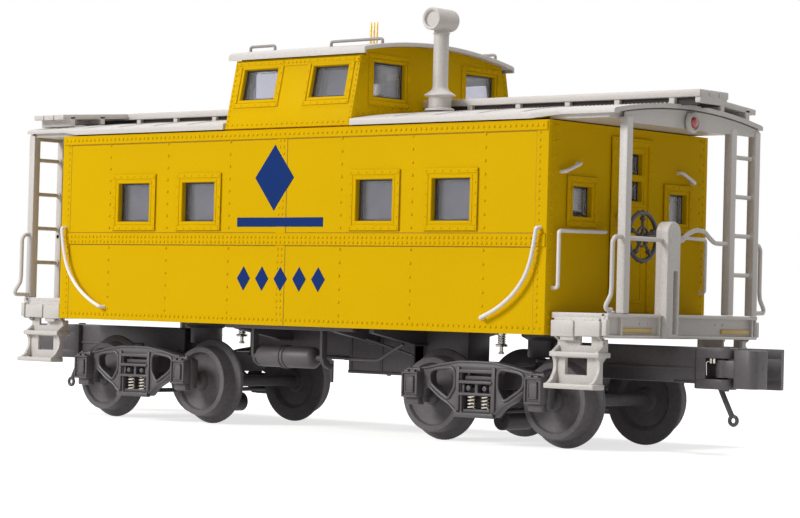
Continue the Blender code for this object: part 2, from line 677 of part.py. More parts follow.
def end_frame():
    """The near end's posts, ladder, arched fascia and rails, in one casting."""
    x = (PLATFORM_END - POST, PLATFORM_END)
    foot = PLATFORM_TOP + GAP
    left = POST_PLACE - POST / 2
    right = LADDER_PLACES[1] + POST / 2
    fascia_x = (PLATFORM_END - 1.0 * MM, PLATFORM_END)
    under = ROOF_CROWN - ROOF_SHEET - GAP
    radius = ROOF_ARCH_RADIUS - ROOF_SHEET - GAP
    tops = [(left + (right - left) * i / 10) for i in range(11)]
    fascia = [(left, FASCIA_BOTTOM), (right, FASCIA_BOTTOM)]
    fascia += [(y, arch_height(under, radius, y)) for y in tops[::-1]]
    frame = plate([fascia], "X", *fascia_x)
    uprights = []
    for y in (POST_PLACE, *LADDER_PLACES):
        uprights.append(block(x, (y - POST / 2, y + POST / 2), (foot, FASCIA_BOTTOM + 0.5 * MM)))
    middle = PLATFORM_END - POST / 2
    rungs = [rod((middle, LADDER_PLACES[0], z), (middle, LADDER_PLACES[1], z), WIRE_RADIUS, 8)
             for z in RUNG_HEIGHTS]
    stand = STAND_WIDTH / 2 + GAP
    rail = rod((middle, POST_PLACE, RAIL_HEIGHT), (middle, STAND_PLACE - stand, RAIL_HEIGHT), WIRE_RADIUS, 8)
    start = STAND_PLACE + stand
    hump = [(start, 0.0), (start + 3.5 * MM, 0.8), (start + 6.5 * MM, 1.0), (start + 9.5 * MM, 0.75),
            (start + 13.0 * MM, 0.0), (LADDER_PLACES[0], 0.0)]
    curved = tube([(middle, y, RAIL_HEIGHT + lift * RAIL_HUMP) for y, lift in hump], WIRE_RADIUS)
    return join(frame, *uprights, *rungs, rail, curved, *handrails())


def brake_stand():
    """The round-topped brake housing on the end sill, with a slot in its front."""
    half = STAND_WIDTH / 2
    centre = STAND_TOP - half
    bottom = SILL_BOTTOM
    top = [(STAND_PLACE + half * math.cos(a), centre + half * math.sin(a))
           for a in [math.pi * i / 8 for i in range(9)]]
    outline = top + [(STAND_PLACE - half, bottom), (STAND_PLACE + half, bottom)]
    housing = plate([outline], "X", STAND_FRONT - STAND_DEPTH, STAND_FRONT)
    slot = block((STAND_FRONT - 2.2 * MM, STAND_FRONT + WALL),
                 (STAND_PLACE - 1.45 * MM, STAND_PLACE + 1.45 * MM), (25.6 * MM, 39.6 * MM))
    return cut(housing, slot)


def brake_wheel():
    """A spoked hand wheel on a short shaft behind the brake stand."""
    centre = Vector((BRAKE_WHEEL_PLACE, STAND_PLACE, STAND_TOP - 3.3 * MM))
    ring_radius = 0.5 * MM
    ring = [(BRAKE_WHEEL_RADIUS + ring_radius * math.cos(a), ring_radius * math.sin(a))
            for a in [2 * math.pi * i / 6 for i in range(7)]]
    rim = turned(ring, "X", centre, 18)
    hub = rod(centre - Vector((0.7 * MM, 0, 0)),
              (STAND_FRONT - STAND_DEPTH - GAP, centre.y, centre.z), 0.9 * MM, 8)
    spokes = []
    for i in range(5):
        angle = 2 * math.pi * i / 5 + math.pi / 2
        tip = centre + Vector((0, math.cos(angle), math.sin(angle))) * BRAKE_WHEEL_RADIUS
        spokes.append(rod(centre, tip, 0.42 * MM, 5))
    return join(rim, hub, *spokes)


MARKER_HEIGHT = 72.5 * MM
MARKER_RADIUS = 2.4 * MM
LENS_RADIUS = 1.2 * MM


def marker_housing():
    start = PLATFORM_END + GAP
    depth = 1.3 * MM
    housing = turned([(0, 0), (MARKER_RADIUS, 0), (MARKER_RADIUS, depth * 0.6),
                      (MARKER_RADIUS - 0.5 * MM, depth), (0, depth)],
                     "X", (start, 0, MARKER_HEIGHT), 14)
    socket = rod((start + 0.5 * MM, 0, MARKER_HEIGHT), (start + WALL, 0, MARKER_HEIGHT),
                 LENS_RADIUS + GAP, 12)
    return cut(housing, socket)


def marker_lens():
    start = PLATFORM_END + 2 * GAP + 0.5 * MM
    bulge = [(LENS_RADIUS * math.sin(a), 0.8 * MM + 0.5 * MM * math.cos(a))
             for a in [math.pi / 2 * i / 3 for i in range(4)]]
    return turned([*bulge, (LENS_RADIUS, 0), (0, 0)], "X", (start, 0, MARKER_HEIGHT), 12)


def handrails():
    """The two flared handrails at the near platform's corners."""
    x = PLATFORM_END - POST / 2
    edge = PLATFORM_WIDTH / 2 + GAP
    rows = {-1: (-POST_PLACE, 27.6 * MM, 28.2 * MM), 1: (LADDER_PLACES[1], 29.0 * MM, 29.5 * MM)}
    rails = []
    for side, (start, shoulder, upright) in rows.items():
        flare = upright + 2.2 * MM
        outline = [(start, 46.6), (shoulder, 46.9), (upright, 46.0), (upright, 35.8),
                   (flare - 0.5 * MM, 33.4), (flare, 31.6), (flare - 0.5 * MM, 30.1), (edge, 29.2)]
        rails.append(tube([(x, side * y, z * MM) for y, z in outline], WIRE_RADIUS))
    return rails


def side_grab_iron():
    """The curved grab iron on the -Y side by the near step."""
    reach = HALF_WIDTH + 1.4 * MM
    foot = HALF_WIDTH + GAP
    shape = [(75.0, 47.9), (74.5, 42.0), (72.8, 37.4), (69.6, 33.4), (65.6, 30.3), (61.3, 28.4)]
    points = [(x * MM, -reach, z * MM) for x, z in shape]
    first, last = points[0], points[-1]
    points = [(first[0], -foot, first[2] + 0.3 * MM), *points, (last[0] - 0.3 * MM, -foot, last[2])]
    return tube(points, WIRE_RADIUS)


def end_grab_iron():
    """The L-shaped grab iron on the near end wall, on the -Y side of the door."""
    foot = HALF_BODY + GAP
    reach = HALF_BODY + 1.5 * MM
    y = -27.4 * MM
    inner = -10.6 * MM
    return tube([(foot, y, 35.2 * MM), (reach, y, 35.2 * MM), (reach, y, 47.5 * MM),
                 (reach, inner, 47.9 * MM), (foot, inner, 47.9 * MM)], WIRE_RADIUS)


def underframe():
    """The black floor plate under the body, with its centre sill and cross bearers."""
    top = BODY_BOTTOM - GAP
    plate_z = (top - FLOOR_PLATE, top)
    half = HALF_BODY - 0.6 * MM
    floor = block((-half, half), (-HALF_WIDTH + 1.1 * MM, HALF_WIDTH - 1.1 * MM), plate_z)
    sill = block((-25.0 * MM, 25.0 * MM), (-4.0 * MM, 4.0 * MM), (CENTRE_SILL_BOTTOM, top - OVERLAP))
    bearers = [block((x - 0.8 * MM, x + 0.8 * MM), (-25.0 * MM, 25.0 * MM), (21.0 * MM, top - OVERLAP))
               for x in (-22.0 * MM, 10.0 * MM, 22.0 * MM)]
    box = block((11.0 * MM, 21.6 * MM), (-7.0 * MM, 7.0 * MM), (14.1 * MM, top - OVERLAP))
    return join(floor, sill, box, *bearers)


def air_tank():
    """The air reservoir on the -Y side with its two hanger straps."""
    y, z = TANK_PLACE
    end = TANK_START + TANK_LENGTH
    radius = TANK_RADIUS
    dome = 0.9 * MM
    profile = [(0, 0), (radius * 0.7, 0.2 * MM), (radius, dome), (radius, TANK_LENGTH - dome),
               (radius * 0.7, TANK_LENGTH - 0.2 * MM), (0, TANK_LENGTH)]
    tank = turned(profile, "X", (TANK_START, y, z), 16)
    top = BODY_BOTTOM - GAP - FLOOR_PLATE - GAP
    straps = []
    for x in (TANK_START + 2.2 * MM, end - 2.2 * MM):
        outer, inner = radius + 0.7 * MM, radius - OVERLAP
        arc = [math.radians(a) for a in range(180, 361, 30)]
        hoop = [(y + outer * math.cos(a), z + outer * math.sin(a)) for a in arc]
        hoop += [(y + outer, top), (y + inner, top)]
        hoop += [(y + inner * math.cos(a), z + inner * math.sin(a)) for a in arc[::-1]]
        hoop += [(y - inner, top), (y - outer, top)]
        straps.append(plate([hoop], "X", x - 0.7 * MM, x + 0.7 * MM))
    return join(tank, *straps)


def brake_gear():
    """The brake cylinder on the +Y side with its bracket and push rod."""
    y, z = 17.0 * MM, 18.2 * MM
    top = BODY_BOTTOM - GAP - FLOOR_PLATE - GAP
    cylinder = rod((-14.0 * MM, y, z), (-3.0 * MM, y, z), 3.4 * MM, 20)
    head = rod((-3.4 * MM, y, z), (-2.0 * MM, y, z), 3.9 * MM, 20)
    bracket = block((-12.0 * MM, -5.0 * MM), (y - 1.2 * MM, y + 1.2 * MM), (z, top))
    push = rod((-2.4 * MM, y, z), (9.0 * MM, y, z), 0.6 * MM, 8)
    return join(cylinder, head, bracket, push)


def wheelset():
    """An axle with its two flanged wheels, turned in one profile about Y."""
    flange_root = WHEEL_BACK + FLANGE_WIDTH
    recess = WHEEL_FACE - WHEEL_DISH
    rim_inner = TREAD_RADIUS - RIM_WIDTH
    half = [(0, SIDE_FRAME_INNER + SIDE_FRAME_WEB - GAP),
            (JOURNAL_RADIUS, SIDE_FRAME_INNER + SIDE_FRAME_WEB - GAP),
            (JOURNAL_RADIUS, WHEEL_FACE), (HUB_RADIUS, WHEEL_FACE), (HUB_RADIUS, recess),
            (rim_inner - 0.4 * MM, recess), (rim_inner, WHEEL_FACE), (TREAD_RADIUS - 0.1 * MM, WHEEL_FACE),
            (TREAD_RADIUS + 0.1 * MM, flange_root), (FLANGE_RADIUS, flange_root - 0.9 * MM),
            (FLANGE_RADIUS, WHEEL_BACK), (AXLE_RADIUS, WHEEL_BACK)]
    profile = half + [(radius, -place) for radius, place in half[::-1]]
    return profile


def side_frame():
    """The -Y side frame: web with two windows, bolster openings and two journal boxes."""
    inner, outer = -SIDE_FRAME_INNER, -SIDE_FRAME_INNER - SIDE_FRAME_WEB
    half = [(4.6, 6.4), (6.6, 9.0), (14.6, 12.4), (14.6, 10.8), (20.3, 10.8), (20.3, 16.0), (15.2, 16.6),
            (10.0, 17.8), (5.0, 18.7)]
    outline = [(x * MM, z * MM) for x, z in half] + [(-x * MM, z * MM) for x, z in half[::-1]]
    window = [(5.4, 16.2), (13.6, 15.9), (14.0, 14.3), (11.9, 12.9), (7.2, 10.2), (5.4, 12.0)]
    windows = [[(side * x * MM, z * MM) for x, z in window] for side in (-1, 1)]
    slot = [(-3.9, 14.8), (3.9, 14.8), (3.9, 16.0), (-3.9, 16.0)]
    low, high = SPRING_NEST
    nest = [(-3.9 * MM, low), (3.9 * MM, low), (3.9 * MM, high), (-3.9 * MM, high)]
    openings = [[(x * MM, z * MM) for x, z in slot], nest]
    web = plate([outline, *windows, *openings], "Y", outer, inner)
    boxes = []
    bores = []
    for side in (-1, 1):
        x = side * WHEELBASE / 2
        boxes.append(block((x - 2.6 * MM, x + 2.6 * MM), (-JOURNAL_BOX_FACE, outer + OVERLAP),
                           (9.3 * MM, 16.2 * MM)))
        bores.append(rod((x, inner + WALL, AXLE_HEIGHT), (x, outer, AXLE_HEIGHT), JOURNAL_RADIUS + GAP, 12))
        boxes.append(block((x - 2.6 * MM, x + 2.6 * MM), (outer, inner), (8.8 * MM, 12.6 * MM)))
    return cut(join(web, *boxes), *bores)


def spring_plank():
    """The plank below the bolster, with two springs standing on it in each side frame."""
    y = SIDE_FRAME_INNER + SIDE_FRAME_WEB / 2
    floor = SPRING_NEST[0] + GAP
    plank = block((-3.9 * MM + GAP, 3.9 * MM - GAP), (-y - 1.0 * MM, y + 1.0 * MM), (floor, floor + 0.8 * MM))
    top = 10.9 * MM
    springs = [rod((x, side * y, floor + OVERLAP), (x, side * y, top), SPRING_RADIUS, 10)
               for x in (-2.0 * MM, 2.0 * MM) for side in (-1, 1)]
    return join(plank, *springs)


def bolster():
    """The truck's cross beam between the side frames, with the centre plate it swivels on."""
    reach = SIDE_FRAME_INNER - GAP
    beam = block((-4.4 * MM, 4.4 * MM), (-reach, reach), (12.4 * MM, 17.4 * MM))
    pad = rod((0, 0, 17.0 * MM), (0, 0, BODY_BOTTOM - GAP - FLOOR_PLATE - GAP), 4.0 * MM, 20)
    return join(beam, pad)


def coupler_body():
    """The coupler's shank and head in the truck's own place: fork on -Y, guard arm on +Y."""
    start = 4.4 * MM + GAP
    shift = -TRUCK_CENTRE
    half = SHANK_WIDTH / 2
    head = HEAD_START + shift
    px, py = KNUCKLE_PIVOT[0] + shift, KNUCKLE_PIVOT[1]
    shank = block((start, head + OVERLAP), (-half, half), (SHANK_BOTTOM, SHANK_TOP))
    lug_radius = 2.6 * MM
    arc = [math.radians(a) for a in range(-90, 91, 30)]
    outline = [(head, -4.2 * MM), (head + 1.2 * MM, py - lug_radius)]
    outline += [(px + lug_radius * math.cos(a), py + lug_radius * math.sin(a)) for a in arc]
    throat = head + 5.6 * MM
    outline += [(throat, py + lug_radius + 0.6 * MM), (throat, 4.4 * MM), (109.5 * MM + shift, 5.4 * MM),
                (114.4 * MM + shift, 6.6 * MM), (114.2 * MM + shift, 8.0 * MM), (108.0 * MM + shift, 7.6 * MM),
                (head + 1.0 * MM, 5.4 * MM), (head, 4.2 * MM)]
    casting = plate([outline], "Z", HEAD_BOTTOM, SHANK_TOP)
    pocket = block((px - 3.2 * MM, px + WALL * 3), (py - 6.0 * MM, py + 3.2 * MM),
                   (HEAD_BOTTOM + LUG, SHANK_TOP - LUG))
    return join(cut(casting, pocket), shank, *trip_pin())


def knuckle():
    """The knuckle: pivot barrel between the lugs and a full-height nose hooked across the throat."""
    shift = -TRUCK_CENTRE
    px, py = KNUCKLE_PIVOT[0] + shift, KNUCKLE_PIVOT[1]
    low, high = HEAD_BOTTOM + LUG + GAP, SHANK_TOP - LUG - GAP
    nose = KNUCKLE_NOSE + shift
    back = px + 3.2 * MM
    barrel = rod((px, py, low), (px, py, high), 2.0 * MM, 16)
    arm = block((px, back + OVERLAP), (py - 1.9 * MM, py + 1.9 * MM), (low, high))
    outline = [(back, py - 2.0 * MM), (nose - 1.2 * MM, py - 2.4 * MM), (nose, py - 1.2 * MM),
               (nose, py + 3.0 * MM), (nose - 1.0 * MM, py + 3.9 * MM), (nose - 3.4 * MM, py + 3.6 * MM),
               (nose - 3.6 * MM, py + 1.9 * MM), (back, py + 1.9 * MM)]
    face = plate([outline], "Z", HEAD_BOTTOM + GAP, SHANK_TOP - GAP)
    return join(face, barrel, arm), (px, py, 0.0)


def trip_pin():
    """The uncoupling pin that hangs below the coupler's head, with an eye at its foot."""
    shift = -TRUCK_CENTRE
    top = Vector((103.2 * MM + shift, 0, HEAD_BOTTOM + OVERLAP))
    foot = Vector((106.4 * MM + shift, 0, 8.4 * MM))
    stem = rod(top, foot, 0.6 * MM, 8)
    eye_radius, eye_wire = 0.9 * MM, 0.45 * MM
    ring = [(eye_radius + eye_wire * math.cos(a), eye_wire * math.sin(a))
            for a in [2 * math.pi * i / 6 for i in range(7)]]
    eye = turned(ring, "Y", foot + Vector((0.3 * MM, 0, -0.9 * MM)), 12)
    return stem, eye


def pickup():
    """The sprung pickup roller for the centre rail, under the bolster."""
    roller_x, roller_z, radius = -8.6 * MM, 4.8 * MM, 2.4 * MM
    top = 12.4 * MM - GAP
    roller = rod((roller_x, -5.0 * MM, roller_z), (roller_x, 5.0 * MM, roller_z), radius, 16)
    arm = [tube([(-3.0 * MM, y, top - OVERLAP), (-5.4 * MM, y, 9.8 * MM), (roller_x, y, roller_z)], 0.6 * MM)
           for y in (-5.6 * MM, 5.6 * MM)]
    axle = rod((roller_x, -6.0 * MM, roller_z), (roller_x, 6.0 * MM, roller_z), 0.6 * MM, 8)
    foot = block((-4.2 * MM, 1.5 * MM), (-6.3 * MM, 6.3 * MM), (top - 1.0 * MM, top))
    return join(roller, axle, foot, *arm)


def build_carbody():
    finish(body_shell(), "body_shell", YELLOW)
    finish(cupola_shell(), "cupola_shell", YELLOW)
    right = side_glazing()
    left = mirrored(right, "Y")
    finish(right, "side_glazing_right", GLASS)
    finish(left, "side_glazing_left", GLASS)
    finish(cupola_glazing(), "cupola_glazing", GLASS)
    finish(cupola_roof(), "cupola_roof", SILVER, smooth=True)
    finish(smoke_jack(), "smoke_jack", SILVER, smooth=True)
    finish(cupola_grab_rail(7.0 * MM, 20.0 * MM), "cupola_rail_near", WIRE, smooth=True)
    finish(cupola_grab_rail(-19.0 * MM, -9.0 * MM), "cupola_rail_far", WIRE, smooth=True)
    finish(roof_pins(), "roof_pins", BRASS)
    finish(underframe(), "underframe", BLACK)
    finish(air_tank(), "air_tank", BLACK, smooth=True)
    finish(brake_gear(), "brake_gear", BLACK, smooth=True)


def both_sides(make, name, material, parents, smooth=False):
    """A piece on the -Y side and its mirror image on +Y, at both ends."""
    right = make()
    left = mirrored(right, "Y")
    both(right, f"{name}_right", material, parents, smooth=smooth)
    both(left, f"{name}_left", material, parents, smooth=smooth)


def build_ends():
    both(roof_half(), "roof", SILVER, ENDS, smooth=True)
    both(roofwalk(), "roofwalk", SILVER, ENDS)
    both(platform(), "platform", SILVER, ENDS)
    both(end_frame(), "end_frame", SILVER, ENDS, smooth=True)
    both(brake_stand(), "brake_stand", SILVER, ENDS)
    both(brake_wheel(), "brake_wheel", BLACK, ENDS, smooth=True)
    both(marker_housing(), "marker_housing", SILVER, ENDS, smooth=True)
    both(marker_lens(), "marker_lens", RED, ENDS, smooth=True)
    both(end_glazing(), "end_glazing", GLASS, ENDS)
    both_sides(side_grab_iron, "side_grab", WIRE, ENDS, smooth=True)
    both_sides(end_grab_iron, "end_grab", WIRE, ENDS, smooth=True)


def build_trucks():
    both(bolster(), "bolster", BLACK, TRUCKS)
    both_sides(side_frame, "side_frame", BLACK, TRUCKS)
    both(spring_plank(), "springs", BRIGHT, TRUCKS)
    both(coupler_body(), "coupler", BLACK, TRUCKS)
    claw, pivot = knuckle()
    both(claw, "knuckle", BLACK, TRUCKS, origin=pivot)
    both(pickup(), "pickup", BLACK, TRUCKS, smooth=True)
    for name, side in (("outer", 1), ("inner", -1)):
        origin = (side * WHEELBASE / 2, 0, AXLE_HEIGHT)
        wheels = turned(wheelset(), "Y", origin, 20)
        both(wheels, f"wheelset_{name}", STEEL, TRUCKS, origin=origin, smooth=True)


build_carbody()
build_ends()
build_trucks()
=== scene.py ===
"""Looks of the toy caboose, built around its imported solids.

Sizes are in millimetres in the part's own frame and become metres when a mesh is made.
Near-end shapes are turned half a turn about Z for the far end, and truck shapes are moved to each truck.
"""

import json
import math

import bmesh
import bpy
import numpy as np
from mathutils import Matrix

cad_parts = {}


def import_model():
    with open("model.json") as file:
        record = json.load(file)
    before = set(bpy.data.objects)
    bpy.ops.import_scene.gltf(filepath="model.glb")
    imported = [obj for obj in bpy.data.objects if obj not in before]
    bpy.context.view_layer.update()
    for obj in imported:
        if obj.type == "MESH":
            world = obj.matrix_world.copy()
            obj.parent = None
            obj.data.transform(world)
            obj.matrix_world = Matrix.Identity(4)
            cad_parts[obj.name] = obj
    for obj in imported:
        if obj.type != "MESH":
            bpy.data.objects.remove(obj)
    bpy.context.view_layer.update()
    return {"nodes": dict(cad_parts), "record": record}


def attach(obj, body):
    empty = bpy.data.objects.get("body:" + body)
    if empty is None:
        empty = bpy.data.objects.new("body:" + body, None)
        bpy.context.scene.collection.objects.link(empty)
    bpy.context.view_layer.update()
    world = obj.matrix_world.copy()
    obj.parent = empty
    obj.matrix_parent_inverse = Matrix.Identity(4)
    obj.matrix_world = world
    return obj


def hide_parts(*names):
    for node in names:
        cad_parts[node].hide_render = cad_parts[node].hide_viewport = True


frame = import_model()
NODES = frame["nodes"]
MM = 0.001

WALL_Y = 30.4
WALL_X = 78.05
STRIP = 0.3
ROOF_CROWN, ROOF_RADIUS, ROOF_SHEET = 76.3, 158.0, 1.0
CUPOLA_CROWN, CUPOLA_RADIUS = 93.1, 141.5
CUPOLA_X = 20.2
CUPOLA_TOP_Y = 26.9
PLATFORM_END = 93.8
PLATFORM_TOP = 30.1
SILL_BOTTOM = 24.8
POST = 1.6
POST_Y = -22.8
STILES = (17.4, 27.1)
STILE = 2.1
HANDRAIL_Z = 46.3
STAND_Y, STAND_HALF, STAND_TOP = -6.5, 2.45, 50.4
TRUCK_X = 55.2
HALF_WHEELBASE = 17.6
AXLE_Z = 10.5


# Shapes worked out as arrays


def unit(vectors):
    """The vectors, each divided by its length."""
    vectors = np.asarray(vectors, float)
    return vectors / np.linalg.norm(vectors, axis=-1, keepdims=True)


def grid(points, wrap=True):
    """Faces between the neighbours of a grid of points; with wrap each row is a closed ring."""
    rows, columns = points.shape[:2]
    here = np.arange(rows * columns).reshape(rows, columns)
    following = np.roll(here, -1, 1)
    if not wrap:
        here, following = here[:, :-1], following[:, :-1]
    quads = np.stack([here[:-1], following[:-1], following[1:], here[1:]], -1).reshape(-1, 4)
    return points.reshape(-1, 3), [quads]


def capped(rings):
    """Rings closed at both ends by drawing the end rings in to their middles."""
    ends = [np.broadcast_to(ring.mean(0), ring.shape)[None] for ring in (rings[0], rings[-1])]
    return grid(np.concatenate([ends[0], rings, ends[1]]))


def brick(x, y, z, edge=0.15, steps=2):
    """A box with round edges: a ball of the edge's radius, its eight parts moved out to the corners."""
    low, high = np.array([x, y, z], float).T
    half = (high - low) / 2
    edge = min(edge, half.min() * 0.98)
    turn = np.linspace(0, np.pi / 2, steps + 1)
    around = (turn[None, :] + np.arange(4)[:, None] * np.pi / 2).ravel()
    side = np.repeat([[1, 1], [-1, 1], [-1, -1], [1, -1]], steps + 1, 0)
    rise = np.concatenate([turn - np.pi / 2, turn])[:, None]
    level = np.repeat([-1, 1], steps + 1)[:, None]
    across = np.cos(rise) * np.cos(around) * edge + side[:, 0] * (half[0] - edge)
    along = np.cos(rise) * np.sin(around) * edge + side[:, 1] * (half[1] - edge)
    up = np.broadcast_to(np.sin(rise) * edge + level * (half[2] - edge), across.shape)
    return capped(np.stack([across, along, up], -1) + (low + high) / 2)


def tube(path, radius, ref, sides=10):
    """A circle carried along a path, its frame from the path's direction and a fixed reference."""
    path = np.asarray(path, float)
    ahead = unit(np.gradient(path, axis=0))
    across = unit(np.cross(ref, ahead))
    over = np.cross(ahead, across)
    angle = np.arange(sides) * 2 * np.pi / sides
    ring = (np.cos(angle)[None, :, None] * across[:, None] + np.sin(angle)[None, :, None] * over[:, None])
    return capped(path[:, None] + radius * ring)


def bent(points, bend=0.8, steps=5):
    """A path through corner points, each corner replaced by a curve between points a bend away."""
    points = np.asarray(points, float)
    before, corner, after = points[:-2], points[1:-1], points[2:]
    start = corner + unit(before - corner) * bend
    end = corner + unit(after - corner) * bend
    t = np.linspace(0, 1, steps)[None, :, None]
    curve = (1 - t) ** 2 * start[:, None] + 2 * t * (1 - t) * corner[:, None] + t ** 2 * end[:, None]
    return np.concatenate([points[:1], curve.reshape(-1, 3), points[-1:]])


AXES = {"X": ((1, 0, 0), (0, 1, 0), (0, 0, 1)), "Y": ((0, 1, 0), (0, 0, 1), (1, 0, 0)),
        "Z": ((0, 0, 1), (1, 0, 0), (0, 1, 0))}


def lathe(profile, axis, centre, sides=32, closed=False):
    """(radius, place along the axis) points turned about the axis; closed joins the last to the first."""
    profile = np.array(profile + profile[:1] if closed else profile, float)
    along, first, second = np.array(AXES[axis], float)
    angle = np.arange(sides)[None, :, None] * 2 * np.pi / sides
    ring = np.cos(angle) * first + np.sin(angle) * second
    return grid(np.array(centre, float) + profile[:, 1, None, None] * along
                + profile[:, 0, None, None] * ring)


def stretched(points, axis, places):
    """Flat (a, b) points put at places along an axis: (Y, Z) for X, (X, Z) for Y, (X, Y) for Z."""
    flat = np.broadcast_to(points, (len(places), *points.shape[-2:]))
    depth = np.broadcast_to(np.array(places, float)[:, None], flat.shape[:2])
    order = {"X": (2, 0, 1), "Y": (0, 2, 1), "Z": (0, 1, 2)}[axis]
    return np.stack([flat[..., 0], flat[..., 1], depth], -1)[..., list(order)]


def slab(outline, axis, low, high, edge=0.15):
    """An outline drawn out along an axis, its rims chamfered by moving each corner inwards."""
    outline = np.array(outline, float)
    first, second = unit(outline - np.roll(outline, 1, 0)), unit(np.roll(outline, -1, 0) - outline)
    turn = np.sign(np.sum(outline[:, 0] * np.roll(outline[:, 1], -1)
                          - outline[:, 1] * np.roll(outline[:, 0], -1)))
    left = [turn * np.stack([-d[:, 1], d[:, 0]], -1) for d in (first, second)]
    inner = outline + edge * (left[0] + left[1]) / (1 + np.sum(left[0] * left[1], -1, keepdims=True))
    return capped(stretched(np.stack([inner, outline, outline, inner]), axis,
                            [low, low + edge, high - edge, high]))


def sheet(top, under):
    """A skin between two grids of points of the same size, closed along all four borders."""
    rows, columns = top.shape[:2]
    count = rows * columns
    here = np.arange(count).reshape(rows, columns)
    inner = np.stack([here[:-1, :-1], here[:-1, 1:], here[1:, 1:], here[1:, :-1]], -1).reshape(-1, 4)
    rim = np.concatenate([here[0, :-1], here[:-1, -1], here[-1, :0:-1], here[:0:-1, 0]])
    ring = np.roll(rim, -1)
    side = np.stack([rim, ring, ring + count, rim + count], -1)
    points = np.concatenate([top.reshape(-1, 3), under.reshape(-1, 3)])
    return points, [inner, inner[:, ::-1] + count, side[:, ::-1]]


def domes(places, normal, radius=0.3, height=0.22, sides=8):
    """Rivet heads: rings of radius and height (1, 0), (0.75, 0.7) and a point, at each place."""
    places = np.asarray(places, float).reshape(-1, 3)
    normal = unit(normal)
    first = unit(np.cross(normal, (0.3, 0.5, 0.81)))
    second = np.cross(normal, first)
    angle = np.arange(sides)[None, :, None] * 2 * np.pi / sides
    rings = np.array([(0, -0.2), (1, -0.2), (1, 0.05), (0.75, 0.7), (0, 1)])
    one = rings[:, 0, None, None] * radius * (np.cos(angle) * first + np.sin(angle) * second)
    one = one + rings[:, 1, None, None] * height * normal
    points, (quads,) = grid(one)
    everything = places[:, None] + points
    shift = np.arange(len(places))[:, None, None] * len(points)
    return everything.reshape(-1, 3), [(quads + shift).reshape(-1, 4)]


def coil(x, y, low, high, radius, wire, turns):
    """A spring: the wire's circle carried along a helix, height growing evenly with the angle."""
    t = np.linspace(0, 1, int(14 * turns))
    angle = 2 * np.pi * turns * t
    path = np.stack([x + radius * np.cos(angle), y + radius * np.sin(angle), low + (high - low) * t], -1)
    return tube(path, wire, (0, 0, 1), 7)


def pierced(outlines, axis, low, high, edge=0.12):
    """A plate with holes: flat outlines filled and given depth and a rounded rim."""
    curve = bpy.data.curves.new("plate", "CURVE")
    curve.dimensions = "2D"
    curve.fill_mode = "BOTH"
    curve.extrude = (high - low) / 2 - edge
    curve.bevel_depth = edge
    curve.bevel_resolution = 1
    curve.offset = -edge
    for outline in outlines:
        spline = curve.splines.new("POLY")
        spline.points.add(len(outline) - 1)
        flat = np.ones((len(outline), 4))
        flat[:, :2] = outline
        flat[:, 2] = 0
        spline.points.foreach_set("co", flat.ravel())
        spline.use_cyclic_u = True
    item = bpy.data.objects.new("plate", curve)
    bpy.context.scene.collection.objects.link(item)
    bpy.context.view_layer.update()
    mesh = bpy.data.meshes.new_from_object(item.evaluated_get(bpy.context.evaluated_depsgraph_get()))
    shape = bmesh.new()
    shape.from_mesh(mesh)
    bmesh.ops.remove_doubles(shape, verts=shape.verts, dist=1e-4)
    bmesh.ops.triangulate(shape, faces=shape.faces)
    shape.to_mesh(mesh)
    shape.free()
    points = np.empty(len(mesh.vertices) * 3)
    mesh.vertices.foreach_get("co", points)
    corners = np.empty(len(mesh.loops), int)
    mesh.loops.foreach_get("vertex_index", corners)
    bpy.data.objects.remove(item)
    points = points.reshape(-1, 3) + (0, 0, (low + high) / 2)
    order = {"X": (2, 0, 1), "Y": (0, 2, 1), "Z": (0, 1, 2)}[axis]
    return points[:, list(order)], [corners.reshape(-1, 3)]


def moved(shape, x=0.0, y=0.0, z=0.0):
    """The shape pushed along by x, y and z."""
    return shape[0] + (x, y, z), shape[1]


def flipped(shape):
    """The mirror image across the car's middle plane."""
    return shape[0] * (1, -1, 1), shape[1]


def turned(shape):
    """The shape after half a turn about Z."""
    return shape[0] * (-1, -1, 1), shape[1]


def on_wall(shape, origin, across, up):
    """A shape drawn with X across, Y up and Z outwards, laid on a wall with those directions."""
    out = np.cross(across, up)
    return np.array(origin, float) + shape[0] @ np.array([across, up, out], float), shape[1]


def laid(shapes, wall):
    """All of the shapes laid on one wall, given as its origin and directions."""
    return [on_wall(shape, *wall) for shape in shapes]


def both_ends(shapes):
    """The shapes and their twins after half a turn about Z."""
    return shapes + [turned(shape) for shape in shapes]


def mirrored(shapes):
    """The mirror images of the shapes across the car's middle plane."""
    return [flipped(shape) for shape in shapes]


def arch_z(crown, radius, y):
    """Height of an arch across the car: a circle of the radius whose top is at the crown."""
    return crown - radius + np.sqrt(radius ** 2 - np.asarray(y, float) ** 2)


def row(start, stop, pitch):
    """Places from start to stop, evenly spaced near the pitch."""
    return np.linspace(start, stop, max(2, int(round(abs(stop - start) / pitch)) + 1))


# Making pieces


def make(name, shapes, material, body, replaces=(), smooth=38.0):
    """One piece of all the shapes: doubles merged, faces outwards, smooth but for its sharp edges."""
    points, faces, start = [], [], 0
    for places, groups in shapes:
        points.append(places)
        for group in groups:
            faces += (group + start).tolist()
        start += len(places)
    mesh = bpy.data.meshes.new(name)
    mesh.from_pydata(np.concatenate(points) * MM, [], faces)
    shape = bmesh.new()
    shape.from_mesh(mesh)
    bmesh.ops.remove_doubles(shape, verts=shape.verts, dist=1e-6)
    bmesh.ops.dissolve_degenerate(shape, edges=shape.edges, dist=1e-7)
    bmesh.ops.recalc_face_normals(shape, faces=shape.faces)
    shape.to_mesh(mesh)
    shape.free()
    mesh.shade_smooth()
    mesh.set_sharp_from_angle(angle=math.radians(smooth))
    mesh.materials.append(material)
    item = bpy.data.objects.new(name, mesh)
    bpy.context.scene.collection.objects.link(item)
    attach(item, body)
    if replaces:
        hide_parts(*replaces)
    return item


